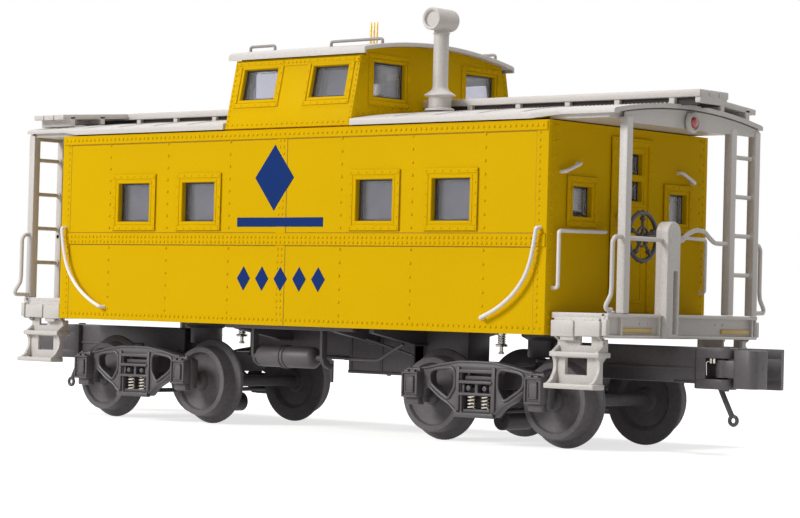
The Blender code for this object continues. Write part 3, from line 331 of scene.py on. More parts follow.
def at_ends(name, shapes, material, replaces=(), smooth=38.0):
    """A piece at the near end of the car body, and its turned twin at the far end."""
    for end, group in (("near", shapes), ("far", [turned(shape) for shape in shapes])):
        make(f"{name}_{end}", group, material, "carbody", [f"{node}_{end}" for node in replaces],
             smooth)


def at_trucks(name, shapes, material, body, replaces=(), smooth=38.0):
    """A piece drawn about a truck's centre, on both trucks; body is the first part of the body's name."""
    near = [moved(shape, x=TRUCK_X) for shape in shapes]
    for end, group in (("near", near), ("far", [turned(shape) for shape in near])):
        make(f"{name}_{end}", group, material, f"{body}_{end}", [f"{node}_{end}" for node in replaces],
             smooth)


# Materials


def add(tree, kind, **values):
    """A new node of the tree, its inputs or settings given by name."""
    item = tree.nodes.new(kind)
    for key, value in values.items():
        if key in item.inputs:
            item.inputs[key].default_value = value
        else:
            setattr(item, key, value)
    return item


def sockets(group, direction, names):
    """The inputs or outputs of a node group, from (name, kind, first value) rows."""
    for name, kind, value in names:
        socket = group.interface.new_socket(name, in_out=direction, socket_type=f"NodeSocket{kind}")
        if value is not None:
            socket.default_value = value


def grain_group():
    """Paint or casting grain: fine specks between two colours, slow drifts of tone, and a height."""
    group = bpy.data.node_groups.new("surface_grain", "ShaderNodeTree")
    sockets(group, "INPUT", [("Colour", "Color", None), ("Speck", "Color", None), ("Scale", "Float", 1500.0),
                             ("Amount", "Float", 0.4), ("Drift", "Float", 0.2), ("Gloss", "Float", 0.4),
                             ("Spread", "Float", 0.1)])
    sockets(group, "OUTPUT",
            [("Colour", "Color", None), ("Roughness", "Float", None), ("Height", "Float", None)])
    into, out = add(group, "NodeGroupInput"), add(group, "NodeGroupOutput")
    place = add(group, "ShaderNodeTexCoord")
    fine = add(group, "ShaderNodeTexNoise", Detail=3.0, Roughness=0.6)
    slow = add(group, "ShaderNodeTexNoise", Scale=38.0, Detail=2.0)
    link = group.links.new
    link(place.outputs["Object"], fine.inputs["Vector"])
    link(place.outputs["Object"], slow.inputs["Vector"])
    link(into.outputs["Scale"], fine.inputs["Scale"])
    sharpen = add(group, "ShaderNodeMapRange")
    sharpen.inputs["From Min"].default_value = 0.35
    sharpen.inputs["From Max"].default_value = 0.65
    link(fine.outputs["Fac"], sharpen.inputs["Value"])
    share = add(group, "ShaderNodeMath", operation="MULTIPLY")
    link(sharpen.outputs["Result"], share.inputs[0])
    link(into.outputs["Amount"], share.inputs[1])
    mix = add(group, "ShaderNodeMix", data_type="RGBA")
    link(share.outputs[0], mix.inputs[0])
    link(into.outputs["Colour"], mix.inputs[6])
    link(into.outputs["Speck"], mix.inputs[7])
    tone = add(group, "ShaderNodeMath", operation="MULTIPLY")
    link(slow.outputs["Fac"], tone.inputs[0])
    link(into.outputs["Drift"], tone.inputs[1])
    lift = add(group, "ShaderNodeMath", operation="SUBTRACT")
    lift.inputs[0].default_value = 1.0
    link(tone.outputs[0], lift.inputs[1])
    shade = add(group, "ShaderNodeMix", data_type="RGBA", blend_type="MULTIPLY")
    shade.inputs[0].default_value = 1.0
    grey = add(group, "ShaderNodeCombineColor")
    for channel in grey.inputs:
        link(lift.outputs[0], channel)
    link(mix.outputs[2], shade.inputs[6])
    link(grey.outputs[0], shade.inputs[7])
    link(shade.outputs[2], out.inputs["Colour"])
    centre = add(group, "ShaderNodeMath", operation="SUBTRACT")
    link(slow.outputs["Fac"], centre.inputs[0])
    centre.inputs[1].default_value = 0.5
    sway = add(group, "ShaderNodeMath", operation="MULTIPLY_ADD")
    link(centre.outputs[0], sway.inputs[0])
    link(into.outputs["Spread"], sway.inputs[1])
    link(into.outputs["Gloss"], sway.inputs[2])
    link(sway.outputs[0], out.inputs["Roughness"])
    link(fine.outputs["Fac"], out.inputs["Height"])
    return group


GRAIN = grain_group()
ACRYLIC_IOR = 1.49


def finish(name, colour, speck, scale=1500.0, amount=0.4, drift=0.1, gloss=0.4, spread=0.1, bump=0.15,
           depth=0.03, metal=0.0, coat=0.0, specular=0.5):
    """A material of the grain group, with its height as a bump of the given depth in millimetres."""
    material = bpy.data.materials.new(name)
    material.use_nodes = True
    tree = material.node_tree
    shader = tree.nodes["Principled BSDF"]
    shader.inputs["Metallic"].default_value = metal
    shader.inputs["Coat Weight"].default_value = coat
    shader.inputs["Specular IOR Level"].default_value = specular
    grain = add(tree, "ShaderNodeGroup", node_tree=GRAIN)
    for key, value in (("Colour", (*colour, 1)), ("Speck", (*speck, 1)), ("Scale", scale), ("Amount", amount),
                       ("Drift", drift), ("Gloss", gloss), ("Spread", spread)):
        grain.inputs[key].default_value = value
    bumps = add(tree, "ShaderNodeBump", Strength=bump, Distance=depth * MM)
    tree.links.new(grain.outputs["Colour"], shader.inputs["Base Color"])
    tree.links.new(grain.outputs["Roughness"], shader.inputs["Roughness"])
    tree.links.new(grain.outputs["Height"], bumps.inputs["Height"])
    tree.links.new(bumps.outputs["Normal"], shader.inputs["Normal"])
    return material


YELLOW = finish("yellow_paint", (0.74, 0.455, 0.0005), (0.62, 0.375, 0.0), 2600, 0.35, 0.08, 0.45, 0.12,
                0.25, 0.03, specular=0.03)
SILVER = finish("silver_grey_paint", (0.66, 0.625, 0.595), (0.46, 0.43, 0.41), 3200, 0.5, 0.06, 0.46, 0.1,
                0.25, 0.03)
BLACK = finish("black_plastic", (0.088, 0.078, 0.085), (0.13, 0.117, 0.125), 1400, 0.4, 0.2, 0.48, 0.2, 0.25,
               0.04)
CASTING = finish("black_casting", (0.086, 0.077, 0.084), (0.13, 0.118, 0.126), 1700, 0.5, 0.25, 0.46, 0.2,
                 0.45, 0.06)
WHEEL = finish("blackened_steel", (0.155, 0.143, 0.152), (0.215, 0.20, 0.21), 900, 0.5, 0.3, 0.60, 0.1, 0.2,
               0.03, specular=0.3)
WIRE = finish("white_wire", (0.88, 0.85, 0.85), (0.74, 0.70, 0.70), 2000, 0.3, 0.1, 0.35, 0.1, 0.1, 0.02)
BRIGHT = finish("bright_steel", (0.70, 0.66, 0.60), (0.5, 0.46, 0.42), 1500, 0.4, 0.2, 0.25, 0.1, 0.05, 0.01,
                1.0)
RAIL = finish("rail_wire", (0.30, 0.27, 0.265), (0.42, 0.39, 0.38), 1500, 0.4, 0.2, 0.4, 0.1, 0.05, 0.01)
BRASS = finish("brass", (0.80, 0.55, 0.20), (0.66, 0.42, 0.14), 1500, 0.4, 0.2, 0.25, 0.1, 0.05, 0.01, 1.0)
DARK = finish("dark_handwheel", (0.062, 0.058, 0.060), (0.11, 0.104, 0.105), 1800, 0.4, 0.2, 0.42, 0.1, 0.3,
              0.04)
STRAW = finish("straw_strip", (0.62, 0.44, 0.13), (0.50, 0.34, 0.09), 2200, 0.4, 0.1, 0.42, 0.1, 0.2, 0.03)
BLUE = finish("blue_mark", (0.010, 0.036, 0.165), (0.014, 0.044, 0.20), 2600, 0.4, 0.1, 0.45, 0.1, 0.15, 0.02,
              specular=0.03)
SHADE = finish("walk_shade", (0.035, 0.026, 0.026), (0.05, 0.04, 0.04), 1500, 0.4, 0.1, 0.7, 0.1, 0.1, 0.02)
# Pale lilac-grey painted light: plates behind the glass stand for the brightness seen in the windows.
PAINTED_LIGHT = finish("painted_window_light", (0.50, 0.47, 0.52), (0.45, 0.42, 0.47), 300, 0.5, 0.1, 0.5, 0.1, 0.05, 0.02)
# Dark grey painted shade: the window reveals, the shadowed plates behind the glass and the dark door lights.
PAINTED_SHADE = finish("painted_jamb_shade", (0.055, 0.055, 0.062), (0.08, 0.08, 0.09), 1200, 0.4, 0.1, 0.35, 0.1, 0.1, 0.02)


def clear(name, colour, rough, transmission):
    """A see-through plastic: the grain kept faint, and the shader's own transmission."""
    material = finish(name, colour, tuple(c * 0.94 for c in colour), 500, 0.3, 0.03, rough, 0.02, 0.03, 0.01)
    shader = material.node_tree.nodes["Principled BSDF"]
    shader.inputs["Transmission Weight"].default_value = transmission
    shader.inputs["IOR"].default_value = ACRYLIC_IOR
    return material


GLASS = clear("clear_plastic", (0.93, 0.93, 0.96), 0.04, 1.0)
RED = finish("red_lens", (0.50, 0.012, 0.012), (0.62, 0.03, 0.02), 900, 0.4, 0.1, 0.12, 0.05, 0.05, 0.01,
             coat=0.6)

SLOT_FINISH = {"yellow_paint": YELLOW, "silver_paint": SILVER, "black_paint": BLACK, "black_casting": CASTING,
               "wheel_steel": WHEEL, "white_wire": WIRE, "bright_steel": BRIGHT, "dark_wheel": DARK,
               "brass": BRASS, "clear_plastic": GLASS, "red_lens": RED}
for part in frame["record"]["subparts"]:
    node = NODES[part["node"]]
    node.data.materials.clear()
    node.data.materials.append(SLOT_FINISH[part["material_slot"]])


# Body sides

SIDE_WINDOWS = (28.45, 51.15)
WINDOW_HALF = 5.5
WINDOW_Z = (49.7, 59.2)
PLATE_BORDER = 2.2
FLANGE = 1.15
RIVET = 0.36
RIVET_HEIGHT = 0.30
MARK = (-3.2, 60.0, 12.6, 15.6)
BAR = ((-15.2, 12.7), (48.4, 50.6))
SMALL_MARKS = [(u, 36.1, 4.3, 5.8) for u in (-12.6, -6.55, -0.5, 5.55, 11.6)]


def frame_bars(u, v, width, low, high, edge=0.1):
    """Four bars round an opening, drawn as a picture frame of the given bar width, from low to high."""
    (u0, u1), (v0, v1) = u, v
    return [brick((u0, u1), (v1 - width, v1), (low, high), edge, 1),
            brick((u0, u1), (v0, v0 + width), (low, high), edge, 1),
            brick((u0, u0 + width), (v0 + width, v1 - width), (low, high), edge, 1),
            brick((u1 - width, u1), (v0 + width, v1 - width), (low, high), edge, 1)]


def box_outline(u, v):
    """The four corners of a rectangle."""
    return [(u[0], v[0]), (u[1], v[0]), (u[1], v[1]), (u[0], v[1])]


def opening(middle, half):
    """An opening's two sides, from its middle and half width."""
    return middle - half, middle + half


def ring_places(u, v, pitch, depth):
    """Rivet places along the four sides of a rectangle, at a depth out of the wall."""
    (u0, u1), (v0, v1) = u, v
    across, up = row(u0, u1, pitch), row(v0, v1, pitch)[1:-1]
    places = [np.stack([across, np.full_like(across, v), np.full_like(across, depth)], -1) for v in (v0, v1)]
    places += [np.stack([np.full_like(up, u), up, np.full_like(up, depth)], -1) for u in (u0, u1)]
    return np.concatenate(places)


def window_pair(window, heights, border, width, base, lift):
    """Riveted flanges of two windows, each side of a wall's middle; window is distance and half width."""
    place, half = window
    return [shape for side in (-1, 1)
            for shape in riveted_window(opening(side * place, half), heights, border, width, base, lift)]


def riveted_window(u, v, border, width, base, lift):
    """A raised riveted flange round a window whose opening is u by v; base is the plate's height."""
    outer_u, outer_v = (u[0] - border, u[1] + border), (v[0] - border, v[1] + border)
    bars = frame_bars(outer_u, outer_v, width, base - 0.25, base + lift)
    half = width / 2
    places = ring_places((outer_u[0] + half, outer_u[1] - half), (outer_v[0] + half, outer_v[1] - half), 2.5,
                         base + lift)
    inner = frame_bars((u[0] - 0.75, u[1] + 0.75), (v[0] - 0.75, v[1] + 0.75), 0.7, base - 0.25, base + 0.12,
                       0.08)
    return bars + inner + [domes(places, (0, 0, 1), 0.24, 0.2)]


CORNER_RIVETS, CORNER_STRIP = 75.7, 74.8
SPLICE, SPLICE_RIVETS = (-2.5, 0.7), (-1.6, -0.4)


def column(u, v0, v1, pitch, depth):
    """Rivet places up a wall at one u, at a depth out of it."""
    up = row(v0, v1, pitch)
    return np.stack([np.full_like(up, u), up, np.full_like(up, depth)], -1)


def line(v, u0, u1, pitch, depth):
    """Rivet places across a wall at one height v, at a depth out of it."""
    across = row(u0, u1, pitch)
    return np.stack([across, np.full_like(across, v), np.full_like(across, depth)], -1)


def outside_marks(places):
    """The places clear of the bar and of the lozenges, found from |x| / half width + |y| / half height."""
    inside = [(places[:, i] > low - 0.4) & (places[:, i] < high + 0.4) for i, (low, high) in enumerate(BAR)]
    keep = ~(inside[0] & inside[1])
    for u, v, width, height in (MARK, *SMALL_MARKS):
        away = np.abs(places[:, 0] - u) / (width / 2 + 0.4) + np.abs(places[:, 1] - v) / (height / 2 + 0.4)
        keep &= away > 1
    return places[keep]


def side_shapes():
    """The -Y side's flanges, strips and rivets in wall coordinates: X along the car, Y up, Z outwards."""
    shapes = []
    for place in SIDE_WINDOWS:
        shapes += window_pair((place, WINDOW_HALF), WINDOW_Z, PLATE_BORDER, FLANGE, STRIP, 0.16)
    rivets = [line(45.95, -76.6, 76.6, 1.35, STRIP), line(44.75, -76.6, 76.6, 1.35, STRIP),
              line(70.3, -76.6, 76.6, 1.5, STRIP), line(26.5, -76.6, 76.6, 1.5, 0.0)]
    uprights = [(x, 2.95) for x in (-60.2, -39.5, -18.1, 18.1, 39.6, 60.6)]
    uprights += [(x, 1.6) for x in (CORNER_RIVETS, -CORNER_RIVETS, *SPLICE_RIVETS)]
    for x, pitch in uprights:
        rivets += [column(x, 48.2, 68.8, pitch, 0.0), column(x, 27.9, 43.2, pitch, 0.0)]
    shapes.append(domes(outside_marks(np.concatenate(rivets)), (0, 0, 1), RIVET, RIVET_HEIGHT))
    for low, high in ((46.9, 69.2), (25.2, 44.0)):
        shapes.append(brick((SPLICE[0], SPLICE[1]), (low, high), (-0.3, 0.05), 0.04, 1))
        for side in (-1, 1):
            across = sorted((side * CORNER_STRIP, side * 78.0))
            shapes.append(brick(across, (low, high), (-0.3, 0.06), 0.04, 1))
    return shapes


SIDE_WALL = ((0, -WALL_Y, 0), (1, 0, 0), (0, 0, 1))
NEAR_WALL = ((WALL_X, 0, 0), (0, 1, 0), (0, 0, 1))
right_side = laid(side_shapes(), SIDE_WALL)
make("side_rivets_right", right_side, YELLOW, "carbody")
make("side_rivets_left", [turned(shape) for shape in right_side], YELLOW, "carbody")


def seam(x, v0, v1):
    """A thin dark seam line, a shallow bar sunk in the wall."""
    return brick((x - 0.07, x + 0.07), (v0, v1), (-0.3, 0.035), 0.02, 1)


SEAM_SPANS = ((46.9, 69.0), (25.2, 43.9))
SEAM = finish("seam_shadow", (0.16, 0.09, 0.004), (0.12, 0.07, 0.003), 1500, 0.4, 0.1, 0.6, 0.1, 0.1, 0.02)
seams = [seam(x, *span) for x in (SPLICE[1] + 0.1, CORNER_STRIP, -CORNER_STRIP) for span in SEAM_SPANS]
seams += [brick((-77.2, 77.2), (v - 0.06, v + 0.06), (-0.3, 0.03), 0.02, 1) for v in (47.0, 43.9, 69.05)]
make("side_seams", both_ends(laid(seams, SIDE_WALL)), SEAM, "carbody")


def lozenge(u, v, width, height):
    """A plain upright lozenge, a flat shape a hair proud of the wall."""
    outline = [(u - width / 2, v), (u, v - height / 2), (u + width / 2, v), (u, v + height / 2)]
    return slab(outline, "Z", -0.1, 0.09, 0.02)


def marks():
    """Plain blue shapes: one large lozenge, a bar below it, and a row of five small lozenges."""
    return [lozenge(*mark) for mark in (MARK, *SMALL_MARKS)] + [brick(*BAR, (-0.1, 0.09), 0.05, 1)]


make("plain_marks", both_ends(laid(marks(), SIDE_WALL)), BLUE, "carbody")

# End walls

END_WINDOW_Y, END_WINDOW_HALF, END_WINDOW_Z = 18.3, 3.4, (51.0, 57.6)
DOOR_HALF, DOOR_LIGHTS = 4.0, ((55.3, 59.8), (61.3, 66.0))


def end_wall_shapes():
    """The near end wall's flanges, door frame, door panels, knob and rivets."""
    shapes = window_pair((END_WINDOW_Y, END_WINDOW_HALF), END_WINDOW_Z, PLATE_BORDER, FLANGE, STRIP, 0.3)
    shapes.append(brick((-7.8, 7.8), (67.8, 69.4), (0.0, STRIP + 0.35), 0.1, 1))
    for side in (-1, 1):
        low, high = sorted((side * 7.8, side * 6.2))
        shapes.append(brick((low, high), (30.6, 67.9), (0.0, STRIP + 0.35), 0.1, 1))
        shapes.append(domes(column(side * 7.0, 32.0, 66.6, 2.2, STRIP + 0.35), (0, 0, 1), 0.22, 0.18))
    shapes.append(domes(line(68.6, -6.6, 6.6, 2.2, STRIP + 0.35), (0, 0, 1), 0.22, 0.18))
    shapes += frame_bars((-6.8, 5.4), (54.0, 67.2), 0.8, STRIP - 0.1, STRIP + 0.2, 0.08)
    shapes.append(brick((-6.1, 4.7), (59.9, 61.2), (STRIP - 0.1, STRIP + 0.15), 0.08, 1))
    shapes += frame_bars((-4.6, 4.6), (32.4, 51.6), 0.7, STRIP - 0.1, STRIP + 0.18, 0.08)
    shapes.append(lathe([(0, -0.1), (0.35, -0.1), (0.35, 0.5), (0.7, 0.6), (0.75, 1.0), (0.5, 1.3), (0, 1.4)],
                        "Z", (-5.6, 51.7, STRIP), 16))
    rivets = [column(side * 29.0, 27.0, 70.4, 1.8, 0.0) for side in (-1, 1)]
    rivets += [column(side * 27.6, 47.0, 70.4, 3.2, 0.0) for side in (-1, 1)]
    rivets.append(line(26.6, -27.5, 27.5, 1.8, 0.0))
    shapes.append(domes(np.concatenate(rivets), (0, 0, 1), RIVET, RIVET_HEIGHT))
    return shapes


at_ends("end_wall_trim", laid(end_wall_shapes(), NEAR_WALL), YELLOW)

# Cupola walls

CUPOLA_FOOT_Z = 71.8
CUPOLA_WALL = 1.8
CUPOLA_SIDE_WINDOW = (11.3, 5.5, 78.8, 86.3)
CUPOLA_END_WINDOW = (16.9, 5.5, 79.0, 87.2)
CUPOLA_RISE = 16.6
LEAN = unit((0.0, WALL_Y - CUPOLA_TOP_Y, CUPOLA_RISE))
CUPOLA_SIDE = ((0, -WALL_Y, CUPOLA_FOOT_Z), (1, 0, 0), LEAN)
CUPOLA_END = ((CUPOLA_X, 0, 0), (0, 1, 0), (0, 0, 1))


def cupola_side_shapes():
    """The leaning side wall's window flanges, top strip and rivets."""
    low, high, strip, head = ((z - CUPOLA_FOOT_Z) / LEAN[2] for z in (*CUPOLA_SIDE_WINDOW[2:], 87.6, 88.2))
    shapes = window_pair(CUPOLA_SIDE_WINDOW[:2], (low, high), 1.9, 1.05, 0.0, 0.3)
    shapes.append(brick((-20.0, 20.0), (strip - 0.9, head), (-0.3, 0.2), 0.05, 1))
    rivets = [line(strip - 0.2, -19.6, 19.6, 1.3, 0.2), line(1.0, -19.6, 19.6, 1.6, 0.0)]
    rivets += [column(side * 19.6, 2.0, strip - 1.4, 1.25, 0.0) for side in (-1, 1)]
    shapes.append(domes(np.concatenate(rivets), (0, 0, 1), 0.27, 0.26))
    return shapes


def cupola_end_shapes():
    """The upright end wall's window flanges, and rivets along the roof line and both leaning edges."""
    shapes = window_pair(CUPOLA_END_WINDOW[:2], CUPOLA_END_WINDOW[2:], 1.9, 1.05, 0.0, 0.3)
    across = row(-27.5, 27.5, 1.7)
    foot = arch_z(ROOF_CROWN, ROOF_RADIUS, across) + 0.9
    shapes.append(domes(np.stack([across, foot, np.zeros_like(across)], -1), (0, 0, 1), 0.27, 0.26))
    for side in (-1, 1):
        up = row(75.0, 87.6, 1.4)
        edge = WALL_Y - (WALL_Y - CUPOLA_TOP_Y) * (up - CUPOLA_FOOT_Z) / CUPOLA_RISE - 1.1
        shapes.append(domes(np.stack([side * edge, up, np.zeros_like(up)], -1), (0, 0, 1), 0.27, 0.26))
    return shapes


def cupola_walls():
    """The cupola's leaning side wall and arched end wall, each a plate with two window openings."""
    low, high, head = ((z - CUPOLA_FOOT_Z) / LEAN[2] for z in (*CUPOLA_SIDE_WINDOW[2:], 88.6))
    place, half = CUPOLA_SIDE_WINDOW[:2]
    holes = [box_outline(opening(side * place, half), (low, high)) for side in (-1, 1)]
    outline = box_outline((-CUPOLA_X, CUPOLA_X), (0.1, head))
    side_wall = pierced([outline, *holes], "Z", -CUPOLA_WALL, 0.0, 0.04)
    y = np.linspace(CUPOLA_TOP_Y - CUPOLA_WALL, -CUPOLA_TOP_Y + CUPOLA_WALL, 25)
    crown = np.stack([y, arch_z(CUPOLA_CROWN - 1.05, CUPOLA_RADIUS, y)], -1).tolist()
    foot = WALL_Y - CUPOLA_WALL - 0.1
    place, half = CUPOLA_END_WINDOW[:2]
    holes = [box_outline(opening(side * place, half), CUPOLA_END_WINDOW[2:]) for side in (-1, 1)]
    outline = [(-foot, CUPOLA_FOOT_Z), (foot, CUPOLA_FOOT_Z), *crown]
    end_wall = pierced([outline, *holes], "Z", -CUPOLA_WALL, 0.0, 0.04)
    return [on_wall(side_wall, *CUPOLA_SIDE), on_wall(end_wall, *CUPOLA_END)]


make("cupola_walls", both_ends(cupola_walls()), YELLOW, "carbody", ["cupola_shell"])
cupola_trim = laid(cupola_side_shapes(), CUPOLA_SIDE) + laid(cupola_end_shapes(), CUPOLA_END)
make("cupola_trim", both_ends(cupola_trim), YELLOW, "carbody")

# Window linings and panes, with painted shade and painted light behind the glass

PANE_GAP = 0.3
DOOR_EDGE = (-6.0, -3.95)


def lining(u, v):
    """A dark band round a pane, between it and the wall's opening: painted shade of the reveal."""
    return frame_bars((u[0] + 0.03, u[1] - 0.03), (v[0] + 0.03, v[1] - 0.03), 0.23, -2.0, -0.85, 0.03)


def pane(u, v, depth=(-1.7, -1.0)):
    """A clear pane within an opening and its wider rim behind the wall."""
    return [brick(u, v, depth, 0.05, 1),
            brick((u[0] - 1.3, u[1] + 1.3), (v[0] - 1.3, v[1] + 1.3), (-2.9, -2.25), 0.05, 1),
            brick((u[0] + 0.3, u[1] - 0.3), (v[0] + 0.3, v[1] - 0.3), (-2.3, depth[0] + 0.05), 0.05, 1)]


def narrowed(u, v, gap=PANE_GAP):
    """An opening made smaller by a gap all round."""
    return (u[0] + gap, u[1] - gap), (v[0] + gap, v[1] - gap)


def plate(u, v, depth):
    """A thin plain plate behind a wall."""
    return brick(u, v, depth, 0.05, 1)


jamb_shades, painted_light_plates, side_panes = [], [], []
low, high = WINDOW_Z
for place in SIDE_WINDOWS:
    for side in (-1, 1):
        u = opening(side * place, WINDOW_HALF)
        # A dark plate behind the glass, reaching well to the left: painted shadow of the jamb.
        dark = plate((u[0] - 3.4, u[1] + 0.8), (low - 0.7, high + 0.7), (-4.0, -3.75))
        # A pale plate behind the glass: painted light seen in the window.
        pale = plate((u[0] - 0.1, u[1] + 0.5), (low - 0.5, high + 0.5), (-3.7, -3.35))
        jamb_shades += laid([*lining(u, WINDOW_Z), dark], SIDE_WALL)
        painted_light_plates += laid([pale], SIDE_WALL)
        side_panes += laid(pane(*narrowed(u, WINDOW_Z)), SIDE_WALL)
make("window_jamb_shade", both_ends(jamb_shades), PAINTED_SHADE, "carbody")
make("side_panes_right", side_panes, GLASS, "carbody", ["side_glazing_right"])
make("side_panes_left", [turned(shape) for shape in side_panes], GLASS, "carbody",
     ["side_glazing_left"])

# Each opening of an end wall: its middle, half width, heights, and the share of it drawn as a pale plate of
# painted light
END_OPENINGS = [(-END_WINDOW_Y, END_WINDOW_HALF, END_WINDOW_Z, 0.25),
                (END_WINDOW_Y, END_WINDOW_HALF, END_WINDOW_Z, 0.75),
                (0, DOOR_HALF, DOOR_LIGHTS[0], 0.75), (0, DOOR_HALF, DOOR_LIGHTS[1], 0.25)]
end_panes, end_jamb_shade, end_painted_light = [], [], []
for y, half, v, share in END_OPENINGS:
    u = opening(y, half)
    end_panes += pane(*narrowed(u, v))
    # A dark plate behind each end opening: painted shade.
    end_jamb_shade += [*lining(u, v), plate((u[0] - 0.8, u[1] + 0.8), (v[0] - 0.3, v[1] + 0.3), (-3.9, -3.7))]
    # The pale plate covers that share from the bottom: painted light seen in the window.
    heights = (v[0] - 0.2, v[0] + share * (v[1] - v[0]))
    end_painted_light.append(plate((y - half * 0.6, u[1] + 0.4), heights, (-3.6, -3.3)))
at_ends("end_panes", laid(end_panes, NEAR_WALL), GLASS, ["end_glazing"])
at_ends("end_jamb_shade", laid(end_jamb_shade, NEAR_WALL), PAINTED_SHADE)
# Dark strips at the left of the door lights: painted shade of the window seen there.
door_edge_shades = [brick(DOOR_EDGE, v, (-0.1, 0.12), 0.04, 1) for v in DOOR_LIGHTS]
at_ends("door_edge_shade", laid(door_edge_shades, NEAR_WALL), PAINTED_SHADE)
# A small pale patch at the lower door light's left corner: painted light of the pane.
start, sill = DOOR_EDGE[0], DOOR_LIGHTS[0][0]
end_painted_light.append(brick((start + 0.2, start + 1.0), (sill + 0.1, sill + 1.8), (0.0, 0.16), 0.03, 1))
at_ends("end_painted_light", laid(end_painted_light, NEAR_WALL), PAINTED_LIGHT)

cupola_panes, cupola_jamb_shade = [], []
side_low, side_high = ((z - CUPOLA_FOOT_Z) / LEAN[2] for z in CUPOLA_SIDE_WINDOW[2:])
for wall, (place, half), v in ((CUPOLA_SIDE, CUPOLA_SIDE_WINDOW[:2], (side_low, side_high)),
                               (CUPOLA_END, CUPOLA_END_WINDOW[:2], CUPOLA_END_WINDOW[2:])):
    for side in (-1, 1):
        u = opening(side * place, half)
        # A dark strip at the left behind each cupola opening: painted shadow of the jamb.
        edge = plate((u[0] + 0.2, u[0] + 1.6), (v[0] - 0.4, v[1] + 0.4), (-3.4, -3.1))
        cupola_panes += laid(pane(*narrowed(u, v)), wall)
        cupola_jamb_shade += laid([*lining(u, v), edge], wall)
place, half = CUPOLA_SIDE_WINDOW[:2]
# A pale plate behind the cupola side window: painted light seen through it.
back = plate((place - half + 2.0, place + half + 1.0), (side_low - 0.6, side_high + 0.6), (-4.6, -4.3))
painted_light_plates += laid([back], CUPOLA_SIDE)
make("cupola_panes", both_ends(cupola_panes), GLASS, "carbody", ["cupola_glazing"])
make("cupola_jamb_shade", both_ends(cupola_jamb_shade), PAINTED_SHADE, "carbody")
make("window_painted_light", both_ends(painted_light_plates), PAINTED_LIGHT, "carbody")

# Roof, roofwalk, smoke jack and what stands on the cupola's roof


ARCH_STEPS = 41
EAVE_DROP = np.array([0.0, 0.45, 0.2, 0.05, *([0] * ARCH_STEPS), 0.05, 0.2, 0.45, 0.0])


def roof_sheet():
    """The near roof half: across runs over the arch from eave to eave, along follows the car and tapers."""
    along = np.array([20.5, 20.7, 30, 45, 60, 72.2, 73, 73.8, 79.2, 80, 80.8, 90, 93.9, 94.1])
    half = np.interp(along, [0, 73, 80, 200], [30.9, 30.9, 28.9, 28.9])[:, None]
    low = np.interp(along, [0, 73, 80, 200], [71.8, 71.8, 72.65, 72.65])[:, None]
    arch = np.linspace(-0.975, 0.975, ARCH_STEPS)
    y = half * np.concatenate([[-1, -1, -0.998, -0.99], arch, [0.99, 0.998, 1, 1]])
    z = arch_z(ROOF_CROWN, ROOF_RADIUS, y) - EAVE_DROP
    z[:, [0, -1]] = low
    x = np.broadcast_to(along[:, None], y.shape)
    top = np.stack([x, y, z], -1)
    inner = np.clip(y, -half + 2.0, half - 2.0)
    under_z = arch_z(ROOF_CROWN - ROOF_SHEET, ROOF_RADIUS - ROOF_SHEET, inner)
    under_z[:, [0, -1]] = low
    under = np.stack([x, inner, under_z], -1)
    return sheet(top, under)


def ceiling():
    """The canopy's soffit: a flat sheet under the roof, its top following the arch."""
    y = np.linspace(-27.7, 27.7, 33)
    x = np.array([76.05, 91.9])
    top = np.stack([*np.broadcast_arrays(x[:, None], y[None], arch_z(75.6, 157.0, y)[None])], -1)
    under = top.copy()
    under[..., 2] = 71.8
    return sheet(top, under)


def roof_ribs():
    """Low raised seams across the roof following the arch, and two rows of rivets along the car."""
    shapes = []
    for x in (33.0, 45.5, 58.0, 70.5):
        y = np.linspace(-30.4, 30.4, 33)
        z = arch_z(ROOF_CROWN, ROOF_RADIUS, y)
        edges = np.array([x - 0.5, x + 0.5])[:, None]
        top = np.stack(np.broadcast_arrays(edges, y[None], z[None] + 0.14), -1)
        under = top - (0, 0, 0.5)
        shapes.append(sheet(top, under))
    for y in (-6.6, 6.6):
        x = row(22.5, 92.5, 1.1)
        height = float(arch_z(ROOF_CROWN, ROOF_RADIUS, y))
        places = np.stack([x, np.full_like(x, y), np.full_like(x, height)], -1)
        shapes.append(domes(places, (0, y / ROOF_RADIUS, 1), 0.3, 0.4, 6))
    return shapes


at_ends("roof_skin", [roof_sheet(), ceiling(), *roof_ribs()], SILVER, ["roof"])


def walk_shapes():
    """Roofwalk: three planks and end brackets on saddles, and the side boards down to the ladder."""
    shapes = []
    start, end, top = 21.2, 99.9, 79.3
    for y in (-3.85, 0.0, 3.85):
        shapes.append(brick((start, end), (y - 1.78, y + 1.78), (top - 1.6, top), 0.18, 2))
    for x in (22.4, 35.1, 49.4, 63.6, 77.4, 92.2, 99.1):
        foot = 76.6 if x < 95 else 77.0
        shapes.append(brick((x - 0.75, x + 0.75), (-5.2, 5.2), (foot - 0.6, top - 1.4), 0.12, 1))
        screws = [(x, y, top) for y in (-4.6, -3.1, -0.8, 0.8, 3.1, 4.6)]
        shapes.append(domes(screws, (0, 0, 1), 0.2, 0.14, 6))
    slope = (77.5 - 79.3) / (28.1 - 5.3)
    up = unit((0, 1, slope))
    for i in range(3):
        x = 81.2 + i * 3.9
        board = brick((x, x + 3.6), (0.0, 22.9), (-1.3, 0.0), 0.18, 2)
        shapes.append(on_wall(board, (0, 5.3, 79.25), (1, 0, 0), up))
    for y in (14.4, 24.7):
        z = 79.25 + slope * (y - 5.3)
        foot = float(arch_z(ROOF_CROWN, ROOF_RADIUS, y)) + 0.2
        shapes.append(brick((81.2, 92.6), (y - 0.8, y + 0.8), (foot, z - 0.6), 0.12, 1))
    return shapes


at_ends("walk_planks", walk_shapes(), SILVER, ["roofwalk"])
walk_shade = [brick((21.3, 98.6), (y - 0.3, y + 0.3), (76.0, 77.8), 0.05, 1) for y in (-3.9, 3.9)]
at_ends("walk_shade", walk_shade, SHADE)


